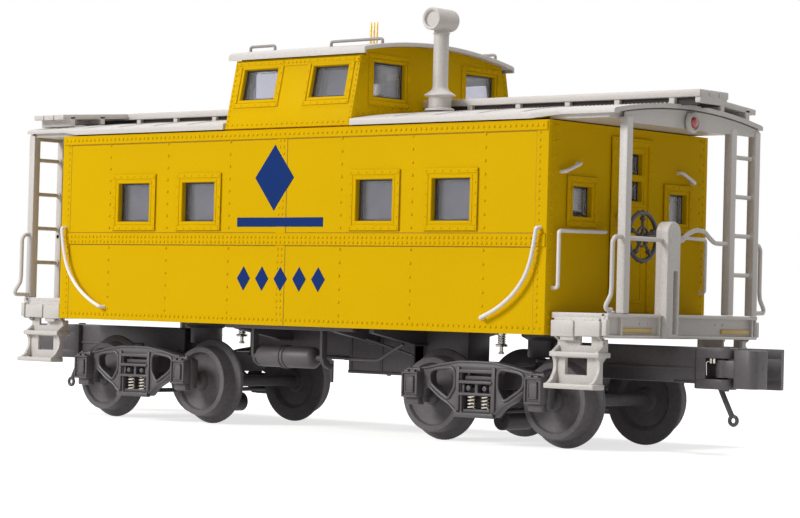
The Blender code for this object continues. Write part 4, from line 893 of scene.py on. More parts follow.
def cupola_roof_shape():
    """The cupola's roof sheet with rolled eaves and a band along its two ends."""
    half, reach = 27.9, 22.0
    arch = np.linspace(-0.97, 0.97, ARCH_STEPS)
    y = half * np.concatenate([[-1, -1, -0.997, -0.988], arch, [0.988, 0.997, 1, 1]])
    z = arch_z(CUPOLA_CROWN, CUPOLA_RADIUS, y) - EAVE_DROP
    z[[0, -1]] = 88.7
    along = np.array([-reach, -reach + 0.05, -reach + 0.25, 0, reach - 0.25, reach - 0.05, reach])
    drop = np.array([0.35, 0.12, 0, 0, 0, 0.12, 0.35])
    top = np.stack(np.broadcast_arrays(along[:, None], y[None], z[None] - drop[:, None]), -1).copy()
    top[:, [0, -1], 2] = 88.7
    inner = np.clip(y, -half + 0.6, half - 0.6)
    under_z = arch_z(CUPOLA_CROWN - 1.0, CUPOLA_RADIUS - 1.0, inner)
    under_z[[0, -1]] = 88.7
    under = np.stack(np.broadcast_arrays(along[:, None], inner[None], under_z[None]), -1).copy()
    return sheet(top, under)


make("cupola_roof_skin", [cupola_roof_shape()], SILVER, "carbody", ["cupola_roof"])


def jack_shapes():
    """The smoke jack: a pipe with a flared base and a band, under a hood lying across it."""
    x, y = 30.0, -10.0
    seat = float(arch_z(ROOF_CROWN, ROOF_RADIUS, 7.3)) + 0.1
    base = [(0, seat), (3.5, seat), (3.5, seat + 0.5), (2.7, seat + 0.8), (2.7, 79.4), (3.0, 79.6)]
    flare = [(3.75, 79.75), (3.7, 80.0), (2.2, 81.0), (1.9, 81.5), (1.8, 82.2), (1.8, 96.4), (0, 96.4)]
    pipe = lathe(base + flare, "Z", (x, y, 0), 32)
    lip = [(0, -3.3), (1.8, -3.3), (1.95, -3.5), (2.0, -3.9), (2.15, -4.0), (2.5, -4.0), (2.65, -3.85)]
    cap = [(2.65, 2.9), (2.5, 3.5), (2.1, 3.85), (1.5, 4.0), (0, 4.0)]
    hood = lathe(lip + cap, "Y", (x, y, 97.6), 36)
    band = lathe([(1.75, 94.2), (1.98, 94.25), (1.98, 94.55), (1.75, 94.6)], "Z", (x, y, 0), 32, closed=True)
    return [pipe, hood, band]


make("smoke_jack_pipe", jack_shapes(), SILVER, "carbody", ["smoke_jack"])


def rail_shapes():
    """The cupola roof's bent grab rails along both eaves."""
    shapes = []
    base = float(arch_z(CUPOLA_CROWN, CUPOLA_RADIUS, 21.0))
    for start, end in ((5.2, 21.4), (-21.4, -13.2)):
        corners = [(x, -21.0, base + rise) for x, rise in ((start, 0), (start, 1.1), (end, 1.1), (end, 0))]
        shapes.append(tube(bent(corners, 0.6), 0.36, (0, 1, 0)))
    return both_ends(shapes)


make("cupola_rails", rail_shapes(), RAIL, "carbody", ["cupola_rail_near", "cupola_rail_far"])
pins = [brick((-2.0, 2.0), (-1.0, 1.0), (93.15, 94.4), 0.2)]
needle = [(0, 94.0), (0.28, 94.0), (0.28, 99.3), (0.2, 99.7), (0, 99.8)]
pins += [lathe(needle, "Z", (x, 0, 0), 12) for x in (-1.0, 0, 1.0)]
make("roof_pin_set", pins, BRASS, "carbody", ["roof_pins"])

# End frames and platforms


def end_frame_shapes():
    """Posts, ladder, arched fascia and rails of the near end."""
    x = (PLATFORM_END - POST, PLATFORM_END)
    middle = PLATFORM_END - POST / 2
    shapes = []
    y = np.linspace(POST_Y - POST / 2, STILES[1] + POST / 2, 41)
    head = arch_z(75.0, 156.7, y)
    front = np.stack([np.stack([np.full_like(y, PLATFORM_END), y, z], -1)
                      for z in (np.full_like(y, 71.0), head)])
    front = front - (0.08, 0, 0)
    shapes.append(sheet(front, front - (0.9, 0, 0)))
    for place in (POST_Y, *STILES):
        y = (place - STILE / 2, place + STILE / 2)
        shapes.append(brick((x[0] - 0.25, x[1] + 0.25), y, (PLATFORM_TOP + 0.1, 72.2), 0.22))
    for z in (39.4, 48.25, 57.1, 66.0):
        shapes.append(tube([(middle, y, z) for y in (STILES[0], 22.7, STILES[1])], 0.5, (1, 0, 0)))
        for place in STILES:
            side = 1 if place == STILES[0] else -1
            shapes.append(lathe([(0, -0.3), (0.8, -0.3), (0.8, 0.35), (0.55, 0.5), (0, 0.5)], "Y",
                                (middle, place + side * STILE / 2, z), 14))
    left = STAND_Y - STAND_HALF
    shapes.append(tube([(middle, y, HANDRAIL_Z) for y in (POST_Y, -15, left + 0.2)], 0.52, (1, 0, 0)))
    start = STAND_Y + STAND_HALF + 0.3
    hump = [(-0.5, 0), (2.6, 0), (4.4, 0.55), (8.0, 1.0), (11.4, 0.92), (13.5, 0.4), (15.6, 0), (22.2, 0)]
    path = bent([(middle, start + run, HANDRAIL_Z + 2.7 * lift) for run, lift in hump], 0.8)
    shapes.append(tube(path, 0.52, (1, 0, 0)))
    for side, foot, shoulder, upright in ((-1, -POST_Y, 3.3, 4.1), (1, STILES[1], 2.6, 3.5)):
        shoulder, upright = foot + shoulder, foot + upright
        flare = upright + 2.0
        outline = [(foot, 46.6), (shoulder, 46.4), (upright, 45.4), (upright, 35.7), (upright + 0.25, 34.0),
                   (flare, 31.7), (flare - 0.3, 30.9), (min(upright, 28.3), 30.9)]
        path = bent([(middle, side * y, z) for y, z in outline], 0.4)
        shapes.append(tube(path, 0.5, (1, 0, 0)))
        shapes.append(lathe([(0, 0.0), (0.85, 0.0), (0.85, 0.3), (0.5, 0.6), (0, 0.6)], "Z",
                            (middle, side * min(upright, 28.1), PLATFORM_TOP + 0.05), 14))
    return shapes


at_ends("end_frame_cast", end_frame_shapes(), SILVER, ["end_frame"])


def stand_shapes():
    """The brake housing: a round-topped case with a deep slot, its sides running straight down to the sill.
    """
    angle = np.linspace(0, np.pi, 17)
    top = np.stack([STAND_Y + STAND_HALF * np.cos(angle),
                    STAND_TOP - STAND_HALF + STAND_HALF * np.sin(angle)], -1)
    outline = [*top.tolist(), (STAND_Y - STAND_HALF, 24.8), (STAND_Y + STAND_HALF, 24.8)]
    slot = [(STAND_Y + 0.1, 25.8), (STAND_Y + 1.6, 25.8), (STAND_Y + 1.6, 39.6), (STAND_Y + 0.1, 39.6)]
    back = slab(outline, "X", 91.4, 93.0, 0.3)
    front = pierced([outline, slot], "X", 92.6, 94.8, 0.25)
    inner = [(STAND_Y + 1.5 * np.cos(a), 47.95 + 1.5 * np.sin(a)) for a in angle]
    face = slab([*inner, (STAND_Y - 1.5, 42.2), (STAND_Y + 1.5, 42.2)], "X", 94.6, 94.95, 0.12)
    return [back, front, face]


at_ends("brake_case", stand_shapes(), SILVER, ["brake_stand"])


def brake_wheel_shapes():
    """The hand wheel: a round rim, five spokes with eyes, and a hub on its shaft."""
    x, y, z = 86.2, STAND_Y, STAND_TOP - 3.3
    t = np.linspace(0, 2 * np.pi, 13)
    rim = lathe([(5.3 + 0.5 * np.cos(a), 0.5 * np.sin(a)) for a in t[:-1]], "X", (x, y, z), 48, closed=True)
    inner = lathe([(2.1 + 0.3 * np.cos(a), 0.3 * np.sin(a)) for a in t[:-1]], "X", (x, y, z), 36, closed=True)
    hub = [(0, -0.8), (0.8, -0.8), (1.1, -0.3), (1.1, 0.5), (0.8, 0.8), (0.75, 4.9), (0, 4.9)]
    eye = [(0, -0.55), (0.4, -0.55), (0.55, -0.3), (0.55, 0.3), (0.4, 0.55), (0, 0.55)]
    shapes = [rim, inner, lathe(hub, "X", (x, y, z), 20)]
    for i in range(5):
        angle = 2 * np.pi * i / 5 + np.pi / 2
        away = np.array([0, math.cos(angle), math.sin(angle)])
        path = np.array([x, y, z]) + away * np.linspace(0.6, 5.3, 6)[:, None]
        shapes.append(tube(path, 0.34, (1, 0, 0), 8))
        shapes.append(lathe(eye, "X", (x, y + 4.0 * away[1], z + 4.0 * away[2]), 12))
    for angle in np.arange(20) * 2 * np.pi / 20:
        away = np.array([0, math.cos(angle), math.sin(angle)])
        shapes.append(domes([np.array([x, y, z]) + away * 5.75], away, 0.3, 0.22, 6))
    return shapes


at_ends("hand_wheel", brake_wheel_shapes(), DARK, ["brake_wheel"])

MARKER = (0, 0, 72.5)
ring = [(0, 94.1), (2.4, 94.1), (2.4, 94.6), (2.15, 95.0), (1.7, 95.1), (1.55, 94.9), (1.4, 94.6), (0, 94.6)]
at_ends("marker_ring", [lathe(ring, "X", MARKER, 40)], SILVER, ["marker_housing"])
lens = [(1.2 * math.sin(a), 94.65 + 0.75 * math.cos(a)) for a in np.linspace(np.pi / 2, 0, 8)]
jewel = [lathe([(0, 94.6), (1.2, 94.6), *lens], "X", MARKER, 28)]
at_ends("marker_jewel", jewel, RED, ["marker_lens"])


def platform_shapes():
    """Deck, end sill with lips and ribs, and the two step units of the near platform."""
    half = 28.9
    low_stand, high_stand = STAND_Y - STAND_HALF - 0.25, STAND_Y + STAND_HALF + 0.25
    shapes = [brick((78.7, 92.0), (-half, half), (28.8, 30.1), 0.15),
              brick((91.5, 92.4), (low_stand - 0.5, high_stand + 0.5), (SILL_BOTTOM, 30.0), 0.1)]
    for y in ((-half, low_stand), (high_stand, half)):
        shapes.append(brick((91.9, 92.8), y, (SILL_BOTTOM, 30.0), 0.1))
        shapes.append(brick((91.9, PLATFORM_END), y, (29.3, PLATFORM_TOP), 0.2))
        shapes.append(brick((91.9, PLATFORM_END), y, (SILL_BOTTOM, 25.45), 0.2))
    for y in (-28.45, -23.6, 28.45, 27.2, low_stand - 0.35, high_stand + 0.35):
        shapes.append(brick((92.0, 93.6), (y - 0.35, y + 0.35), (25.0, 29.8), 0.12))
    for side in (-1, 1):
        shapes.append(domes([(92.8, side * y, 28.0) for y in (13.0, 16.0)], (1, 0, 0), 0.3, 0.25))
    step = step_shapes()
    return shapes + step + mirrored(step)


def step_shapes():
    """A step unit: apron in two panels, hanging cheeks with curved fronts, two treads and a pierced riser."""
    start, end = 79.4, 91.8
    riser, back = -28.4, -27.4
    shapes = [brick((start - 0.3, start + 5.7), (-29.65, -28.4), (24.9, 28.4), 0.2),
              brick((start + 6.2, end + 0.3), (-29.65, -28.4), (25.1, 28.4), 0.2),
              brick((start + 1.9, start + 5.6), (-29.2, -28.3), (24.1, 25.2), 0.15),
              brick((start + 5.4, start + 6.5), (-29.2, -28.3), (25.0, 28.3), 0.1),
              brick((start + 0.3, end - 0.3), (-29.05, -27.6), (26.0, 29.1), 0.15),
              brick((92.6, 93.85), (-29.65, -28.4), (25.3, 28.8), 0.2),
              brick((start - 0.25, end + 0.5), (-30.05, -25.6), (20.6, 21.7), 0.2),
              brick((start - 0.25, end + 0.5), (-31.85, -27.6), (13.8, 14.9), 0.2),
              pierced([box_outline((start + 0.2, end - 0.2), (21.2, 25.6)),
                       box_outline((start + 6.3, start + 9.2), (23.1, 25.0))],
                      "Y", back - 0.3, back + 0.4, 0.1)]
    for place in (start + 0.2, start + 2.2, start + 4.2, start + 8.0, start + 10.0):
        shapes.append(brick((place, place + 0.7), (-29.1, -28.6), (28.3, 28.9), 0.1, 1))
    plate = [(start + 0.25, 14.7), (end - 0.25, 14.7), (end - 0.25, 20.8), (start + 0.25, 20.8)]
    hole = [(start + 2.9, 16.8), (end - 3.7, 16.8), (end - 3.7, 20.4), (start + 2.9, 20.4)]
    shapes.append(pierced([plate, hole], "Y", riser, back, 0.12))
    front = [(-31.7, 14.0), (-31.7, 14.9), (-30.9, 15.2), (-30.0, 15.9), (-29.06, 17.3), (-28.75, 18.5),
             (-28.9, 19.6), (-29.3, 20.4), (-29.85, 20.8), (-29.85, 21.6), (-29.0, 22.2), (-27.8, 23.0),
             (-27.1, 23.8), (-28.2, 24.5), (-29.4, 25.1), (-29.4, 25.5), (-28.95, 25.5), (-28.3, 24.55)]
    outline = [*front, (-25.9, 24.5), (-25.9, 21.0), (-27.6, 19.5), (-27.6, 14.0)]
    for x in (start, end - 0.9):
        shapes.append(pierced([outline], "X", x, x + 0.9, 0.1))
    return shapes


at_ends("platform_cast", platform_shapes(), SILVER, ["platform"])
strips = [brick((92.6, 93.3), y, (26.0, 27.0), 0.2) for y in ((-23.2, -11.7), (15.1, 26.4))]
at_ends("sill_strips", strips, STRAW)

# Grab irons


def side_grab_shapes():
    """The curved grab iron of the -Y side by the near steps: up, then sweeping down and inwards."""
    corners = np.array([(76.25, 47.9), (75.6, 43.9), (74.6, 39.8), (72.7, 36.2), (69.7, 33.0), (65.8, 30.3),
                        (61.5, 28.4)])
    t = np.linspace(0, len(corners) - 1, 30)
    x, z = (np.interp(t, np.arange(len(corners)), corners[:, i]) for i in (0, 1))
    kernel = np.ones(5) / 5
    x[2:-2], z[2:-2] = np.convolve(x, kernel, "valid"), np.convolve(z, kernel, "valid")
    run = np.stack([x, np.full_like(x, -31.9), z], -1)
    first, last = run[0] + (0.05, 1.7, 0.35), run[-1] + (-0.35, 1.7, -0.05)
    path = np.concatenate([[first, run[0] + (0, 0.25, 0.2)], run, [last + (0.15, -1.5, 0), last]])
    return [tube(path, 0.45, (1, 0, -1.2))]


grab = side_grab_shapes()
at_ends("side_grab_right", grab, WIRE, ["side_grab_right"])
at_ends("side_grab_left", mirrored(grab), WIRE, ["side_grab_left"])
for side, name in ((-1, "right"), (1, "left")):
    corners = [(78.0, 28.1, 35.3), (79.6, 28.1, 35.3), (79.6, 28.1, 47.6), (79.6, 10.8, 47.9),
               (78.0, 10.8, 47.9)]
    path = bent(np.array(corners) * (1, side, 1), 0.7)
    iron = tube(path, 0.45, (0.62, -0.53 * side, 0.58))
    at_ends(f"end_grab_{name}", [iron], WIRE, [f"end_grab_{name}"])
slants = []
for side, outer, inner in ((-1, 26.0, 20.4), (1, 23.6, 18.2)):
    corners = [(78.0, outer, 60.5), (79.5, outer, 60.5), (79.5, inner, 62.6), (78.0, inner, 62.6)]
    path = bent(np.array(corners) * (1, side, 1), 0.6)
    slants.append(tube(path, 0.42, (0.1, 0.3 * side, 1)))
at_ends("slant_grabs", slants, WIRE)

# Underframe


def underframe_shapes():
    """The floor within the walls, centre sill, side rails, cross bearers, box and pads over the trucks."""
    shapes = [brick((-75.8, 75.8), (-28.1, 28.1), (25.3, 26.6), 0.1, 1),
              brick((-35.6, 35.6), (-4.0, 4.0), (17.6, 25.6), 0.2),
              brick((-35.9, 35.9), (-4.6, 4.6), (17.0, 17.8), 0.2),
              brick((0.8, 21.8), (-7.0, 7.0), (14.4, 25.4), 0.3)]
    shapes += [brick((-21.0, 20.0), (y - 0.6, y + 0.6), (24.2, 25.6), 0.1, 1) for y in (-26.8, 26.8)]
    for x in (-22.0, 10.0, 22.0):
        web = [(-23.0, 25.4), (-23.0, 24.0), (-9.0, 21.5), (9.0, 21.5), (23.0, 24.0), (23.0, 25.4)]
        shapes.append(slab(web, "X", x - 0.8, x + 0.8, 0.12))
        shapes.append(brick((x - 1.3, x + 1.3), (-9.0, 9.0), (21.1, 21.7), 0.15))
    pad = [(0, 19.5), (3.9, 19.5), (4.1, 19.8), (4.1, 23.4), (5.6, 24.2), (5.8, 25.5), (0, 25.5)]
    shapes += [lathe(pad, "Z", (side * TRUCK_X, 0, 0), 32) for side in (-1, 1)]
    return shapes


make("underframe_cast", underframe_shapes(), BLACK, "carbody", ["underframe"])
SCREW_X = 42.3
screw = [(0, 19.8), (0.7, 19.8), (0.7, 20.3), (0.45, 20.4), (0.45, 24.2), (1.1, 24.3), (1.1, 25.4), (0, 25.4)]
nut = [(0, 21.6), (1.5, 21.6), (1.6, 21.9), (1.5, 22.2), (0, 22.2)]
post = [lathe(screw, "Z", (SCREW_X, 0, 0), 20), lathe(nut, "Z", (SCREW_X, 0, 0), 6),
        coil(SCREW_X, 0, 22.2, 24.3, 0.8, 0.2, 4)]
make("bolster_screws", both_ends(post), BRIGHT, "carbody")
under = [tube([(4.8, -12, 23.9), (15, -12, 21.5), (25.5, -12, 19.1)], 0.3, (0, 1, 0), 8)]
pipe = [(5.8, -14, 17.6), (16.4, -14, 17.6), (20.5, -14, 19.9), (24.0, -14, 21.6)]
rod = [(-26, 8, 24.5), (-14, 8, 19.0), (-4, 8, 19.0), (4, 8, 24.5)]
under.append(tube(bent(pipe, 1.2), 0.4, (0, 1, 0), 8))
under.append(tube(bent(rod, 1.5), 0.45, (0, 1, 0), 8))
under.append(brick((0.6, 22.0), (-7.2, 7.2), (13.95, 14.7), 0.3))
under += [brick((x - 0.5, x + 0.5), (-7.25, 7.25), (14.6, 25.0), 0.15, 1) for x in (1.4, 11.3, 21.3)]
under.append(domes([(x, y, 14.0) for x in (12.5, 20.0) for y in (-5.5, 5.5)], (0, 0, -1), 0.7, 0.4))
make("under_rods", under, BLACK, "carbody")
back = [(0, -16.4), (1.3, -16.3), (2.2, -15.9), (2.6, -15.2), (2.6, -8.4)]
bands = [(2.85, -8.3), (2.85, -7.9), (2.62, -7.8), (2.62, -7.3), (2.85, -7.2), (2.85, -6.8)]
front = [(2.6, -6.7), (2.6, 1.2), (2.2, 1.9), (1.3, 2.3), (0, 2.4)]
tank = lathe(back + bands + front, "X", (0, -20.0, 17.6), 36)
hook = [(-20.9, 25.0), (-20.9, 18.0), (-20.0, 15.9), (-18.2, 15.0), (-16.6, 15.0), (-16.6, 16.2),
        (-17.7, 16.3), (-19.1, 17.6), (-19.1, 25.0)]
straps = [pierced([hook], "X", x, x + 0.8, 0.12) for x in (-18.7, 3.9)]
straps.append(tube([(-18.4, -20, 17.6), (0, -20, 17.6), (4.4, -20, 17.6)], 0.7, (0, 0, 1), 12))
make("tank_body", [tank, *straps], BLACK, "carbody", ["air_tank"])
cylinder = [(0, -14), (2.9, -14), (3.4, -13.6), (3.4, -3.6), (3.9, -3.5), (3.9, -2.1), (3.7, -2.0), (0, -2.0)]
brake = [lathe(cylinder, "X", (0, 17.0, 18.2), 32), brick((-12, -5), (15.8, 18.2), (18.2, 25.0), 0.2),
         tube([(-2.4, 17, 18.2), (3, 17, 18.2), (9, 17, 18.2)], 0.6, (0, 0, 1))]
make("brake_cylinder", brake, BLACK, "carbody", ["brake_gear"])

# Trucks

INNER_Y, WEB_Y, BOX_Y = -22.6, -25.0, -27.4


def rounded(outline, bend, steps=4):
    """An outline with each corner replaced by a small curve."""
    flat = np.array(outline, float)
    closed = np.concatenate([flat[-1:], flat, flat[:1]])
    before, corner, after = closed[:-2], closed[1:-1], closed[2:]
    lengths = [np.linalg.norm(other - corner, axis=1) for other in (before, after)]
    reach = np.minimum(bend, 0.45 * np.minimum(*lengths))
    start = corner + unit(before - corner) * reach[:, None]
    end = corner + unit(after - corner) * reach[:, None]
    t = np.linspace(0, 1, steps)[None, :, None]
    curve = (1 - t) ** 2 * start[:, None] + 2 * t * (1 - t) * corner[:, None] + t ** 2 * end[:, None]
    return curve.reshape(-1, 2)


def bead(outline, y, radius):
    """A cast bead round an opening: a circle carried along its closed outline in the frame's face."""
    flat = np.concatenate([outline, outline[:1]])
    return tube(np.stack([flat[:, 0], np.full(len(flat), y), flat[:, 1]], -1), radius, (0, 1, 0), 8)


def side_frame_shapes():
    """A cast side frame: web with two windows, slot, bolster and spring openings, beads and boxes."""
    half = [(5.2, 6.3), (6.9, 8.0), (8.0, 8.8), (10.4, 10.0), (13.4, 12.1), (14.9, 12.2), (15.1, 10.2),
            (20.2, 10.2), (20.2, 15.9), (17.0, 16.7), (13.9, 17.1), (10.8, 17.8), (5.0, 18.7)]
    outline = rounded(half + [(-x, z) for x, z in half[::-1]], 0.5)
    window = [(6.1, 12.6), (6.1, 16.2), (7.2, 17.1), (11.9, 16.6), (13.5, 15.9), (13.3, 13.4), (12.0, 12.3),
              (8.0, 9.9)]
    holes = [rounded([(side * x, z) for x, z in window], 0.8) for side in (-1, 1)]
    slot = rounded(box_outline((-4.3, 4.3), (14.35, 15.95)), 0.3)
    upper = [rounded(box_outline((side * 0.4, side * 4.4), (11.65, 13.6)), 0.3) for side in (-1, 1)]
    nest = rounded(box_outline((-4.1, 4.1), (7.2, 11.0)), 0.4)
    shapes = [pierced([outline, *holes, slot, *upper, nest], "Y", WEB_Y, INNER_Y, 0.2)]
    face = WEB_Y - 0.02
    shapes += [bead(hole, face, 0.38) for hole in holes]
    run = np.array([(-19.8, 16.0), (-17.0, 16.4), (-13.9, 16.8), (-10.8, 17.5), (-5.0, 18.4), (0, 18.5)])
    chord = np.concatenate([run, run[-2::-1] * (-1, 1)])
    rib = np.stack([chord[:, 0], np.full(len(chord), face), chord[:, 1]], -1)
    shapes.append(tube(rib, 0.28, (0, 1, 0), 8))
    for side in (-1, 1):
        foot = [(13.4, 12.4), (10.4, 10.3), (7.6, 8.9), (5.0, 6.7), (1.0, 6.7)]
        low = bent([(side * x, face, z) for x, z in foot], 0.6)
        shapes.append(tube(low, 0.32, (0, 1, 0), 8))
        shapes.append(brick(opening(side * 5.1, 0.5), (face - 0.45, face + 0.4), (7.4, 17.4), 0.2))
        shapes += box_shapes(side * HALF_WHEELBASE, face)
    ledges = ((4.9, 0.75, (13.62, 14.3)), (4.9, 0.5, (10.95, 11.6)), (5.6, 0.9, (6.1, 7.15)),
              (4.9, 0.5, (16.0, 16.8)))
    for width, proud, z in ledges:
        shapes.append(brick((-width, width), (face - proud, face + 0.4), z, 0.2))
    shapes.append(brick((-3.9, 3.9), (WEB_Y + 0.8, WEB_Y + 1.4), (14.4, 15.4), 0.2))
    shapes.append(domes([(x, face + 0.5, 12.6) for x in (-2.3, 2.3)], (0, -1, 0), 0.8, 0.6))
    shapes.append(brick((-4.6, 4.6), (INNER_Y + 0.05, INNER_Y + 0.6), (7.2, 11.6), 0.15))
    shapes += [brick((x - 0.35, x + 0.35), (face + 0.2, face + 1.0), (11.6, 13.7), 0.15) for x in (-3.9, 3.9)]
    return shapes


def box_shapes(x, face):
    """A journal box: case and smaller foot, raised rim, lid with its own border, hinge and bolts."""
    shapes = [brick((x - 2.3, x + 2.3), (BOX_Y + 0.3, WEB_Y + 0.6), (10.0, 15.8), 0.25),
              brick((x - 2.5, x + 2.5), (WEB_Y + 0.05, INNER_Y - 0.05), (8.85, 12.6), 0.3),
              brick((x - 1.95, x + 1.95), (WEB_Y - 1.3, WEB_Y + 0.8), (8.3, 10.4), 0.3)]
    rim = frame_bars((x - 2.35, x + 2.35), (9.95, 15.75), 0.5, 0.0, 0.4, 0.12)
    rim += frame_bars((x - 1.3, x + 1.3), (11.0, 14.9), 0.4, 0.0, 0.5, 0.12)
    shapes += [on_wall(bar, (0, BOX_Y + 0.35, 0), (1, 0, 0), (0, 0, 1)) for bar in rim]
    shapes.append(brick((x - 1.2, x + 1.2), (BOX_Y, BOX_Y + 0.6), (11.1, 14.8), 0.15))
    for side in (-1, 1):
        low, high = sorted((x + side * 0.35, x + side * 1.5))
        hinge = [(place, BOX_Y + 0.35, 15.85) for place in (low, (low + high) / 2, high)]
        shapes.append(tube(hinge, 0.42, (0, 0, 1), 10))
    shapes.append(brick((x - 2.1, x + 2.1), (WEB_Y - 1.1, INNER_Y - 0.5), (15.5, 16.6), 0.25))
    shapes.append(domes([(x + side * 1.4, WEB_Y - 0.4, 16.6) for side in (-1, 1)], (0, 0, 1), 0.45, 0.35))
    return shapes


frame_right = side_frame_shapes()
at_trucks("side_casting_right", frame_right, CASTING, "truck", ["side_frame_right"])
at_trucks("side_casting_left", mirrored(frame_right), CASTING, "truck", ["side_frame_left"])
springs = [coil(x, y, 7.8, 11.2, 0.95, 0.24, 4.5) for y in (-23.8, 23.8) for x in (-2.0, 2.0)]
at_trucks("coil_springs", springs, BRIGHT, "truck", ["springs"])
plank = brick((-3.8, 3.8), (-24.8, 24.8), (7.2, 7.9), 0.12)
at_trucks("spring_plank", [plank], CASTING, "truck")


def bolster_shapes():
    """The cross beam: a box with rounded edges, its raised middle and the boss of the king pin."""
    return [brick((-4.4, 4.4), (-22.3, 22.3), (12.4, 17.4), 0.4),
            lathe([(0, 17.2), (2.6, 17.2), (2.5, 18.0), (2.1, 18.2), (2.1, 19.0), (1.7, 19.2), (0, 19.2)],
                  "Z", (0, 0, 0), 28),
            domes([(side * 3.2, y, 17.3) for side in (-1, 1) for y in (-7, 7)], (0, 0, 1), 0.8, 0.5, 6)]


at_trucks("bolster_beam", bolster_shapes(), CASTING, "truck", ["bolster"])
roller = [(0, -5.0), (2.1, -5.0), (2.4, -4.7), (2.4, 4.7), (2.1, 5.0), (0, 5.0)]
pickup = [lathe(roller, "Y", (-8.6, 0, 4.8), 28),
          tube([(-8.6, -6.1, 4.8), (-8.6, 0, 4.8), (-8.6, 6.1, 4.8)], 0.6, (0, 0, 1)),
          brick((-4.2, 1.5), (-6.3, 6.3), (11.1, 12.1), 0.2)]
for y in (-5.6, 5.6):
    pickup.append(tube(bent([(-3.0, y, 11.8), (-5.4, y, 9.8), (-8.6, y, 4.8)], 1.0), 0.55, (0, 1, 0)))
at_trucks("pickup_roller", pickup, BLACK, "truck", ["pickup"])


def wheelset_shapes():
    """Two wheels and their axle: one profile turned about Y, with flange, tread, dished web and hub."""
    axle_end = [(0, 24.7), (0.9, 24.7), (1.0, 24.6), (1.0, 20.2)]
    hub = [(1.6, 20.1), (2.2, 19.9), (2.3, 19.5), (2.3, 18.6), (2.7, 18.2)]
    dish = [(4.4, 18.15), (6.2, 18.3), (6.9, 18.7), (7.1, 19.3), (7.25, 19.5), (8.35, 19.5), (8.5, 19.4),
            (8.6, 19.1)]
    tread = [(8.72, 16.3), (8.95, 15.9)]
    flange = [(9.9, 15.6), (10.3, 15.35), (10.5, 14.95), (10.35, 14.5), (10.0, 14.3)]
    inner = [(7.2, 14.3), (6.9, 14.7), (6.2, 15.2), (3.0, 15.3), (2.4, 14.9), (2.2, 14.2), (1.4, 14.1)]
    half = axle_end + hub + dish + tread + flange + inner
    return lathe(half + [(r, -p) for r, p in half[::-1]], "Y", (0, 0, 0), 72)


for name, side in (("outer", 1), ("inner", -1)):
    wheels = moved(wheelset_shapes(), x=side * HALF_WHEELBASE, z=AXLE_Z)
    at_trucks(f"wheels_{name}", [wheels], WHEEL, f"axle_{name}", [f"wheelset_{name}"], 30.0)

# Couplers

SHIFT = -TRUCK_X
HEAD_X, HEAD_LOW, HEAD_TOP = 99.4, 14.3, 23.2
LUG = 2.2
PIN_X, PIN_Y = 106.3, -3.0
KNUCKLE_NOSE = 115.2


def shifted(outline):
    """Coupler points given along the car, brought to the truck's own centre."""
    return [(x + SHIFT, y) for x, y in outline]


def coupler_shapes():
    """Shank with a rib along each side, the head with its fork and guard arm, and the trip pin."""
    arc = [(PIN_X + 2.6 * math.cos(a), PIN_Y + 2.6 * math.sin(a))
           for a in np.linspace(-np.pi / 2, np.pi / 2, 13)]
    heel = [(HEAD_X, -4.4), (HEAD_X + 1.2, PIN_Y - 2.6)]
    guard = [(105.0, 0.2), (105.0, 4.4), (109.5, 5.4), (114.4, 6.6), (114.2, 8.0), (108.0, 7.6),
             (HEAD_X + 1.0, 5.4), (HEAD_X, 4.4)]
    head = [*heel, *arc, *guard]
    core = [*heel, (102.9, PIN_Y - 2.6), (102.9, 0.2), *guard]
    shapes = [pierced([shifted(head)], "Z", HEAD_TOP - LUG, HEAD_TOP, 0.2),
              pierced([shifted(head)], "Z", HEAD_LOW, HEAD_LOW + LUG, 0.2),
              pierced([shifted(core)], "Z", HEAD_LOW + LUG - 0.1, HEAD_TOP - LUG + 0.1, 0.05)]
    shapes.append(brick((4.7, HEAD_X + SHIFT + 0.4), (-3.2, 3.2), (15.4, 23.2), 0.35))
    shapes.append(brick((20.0, HEAD_X + SHIFT + 0.3), (-3.55, 3.55), (18.2, 18.9), 0.25))
    shapes.append(brick((38.0, HEAD_X + SHIFT + 0.3), (-3.5, 3.5), (15.3, 15.9), 0.2))
    for z in (HEAD_TOP - 1.4, HEAD_LOW + 0.5):
        pin = [(0, z - 0.9), (1.0, z - 0.9), (1.0, z + 1.6), (0.8, z + 1.75), (0, z + 1.75)]
        shapes.append(lathe(pin, "Z", (PIN_X + SHIFT, PIN_Y, 0), 20))
    stem = tube([(103.2 + SHIFT, 0, 14.5), (104.8 + SHIFT, 0, 11.4), (106.4 + SHIFT, 0, 8.4)], 0.6, (0, 1, 0))
    t = np.linspace(0, 2 * np.pi, 11)[:-1]
    ring = [(0.95 + 0.42 * math.cos(a), 0.42 * math.sin(a)) for a in t]
    eye = lathe(ring, "Y", (106.75 + SHIFT, 0, 7.55), 24, closed=True)
    return shapes + [stem, eye]


at_trucks("coupler_head", coupler_shapes(), CASTING, "truck", ["coupler"])


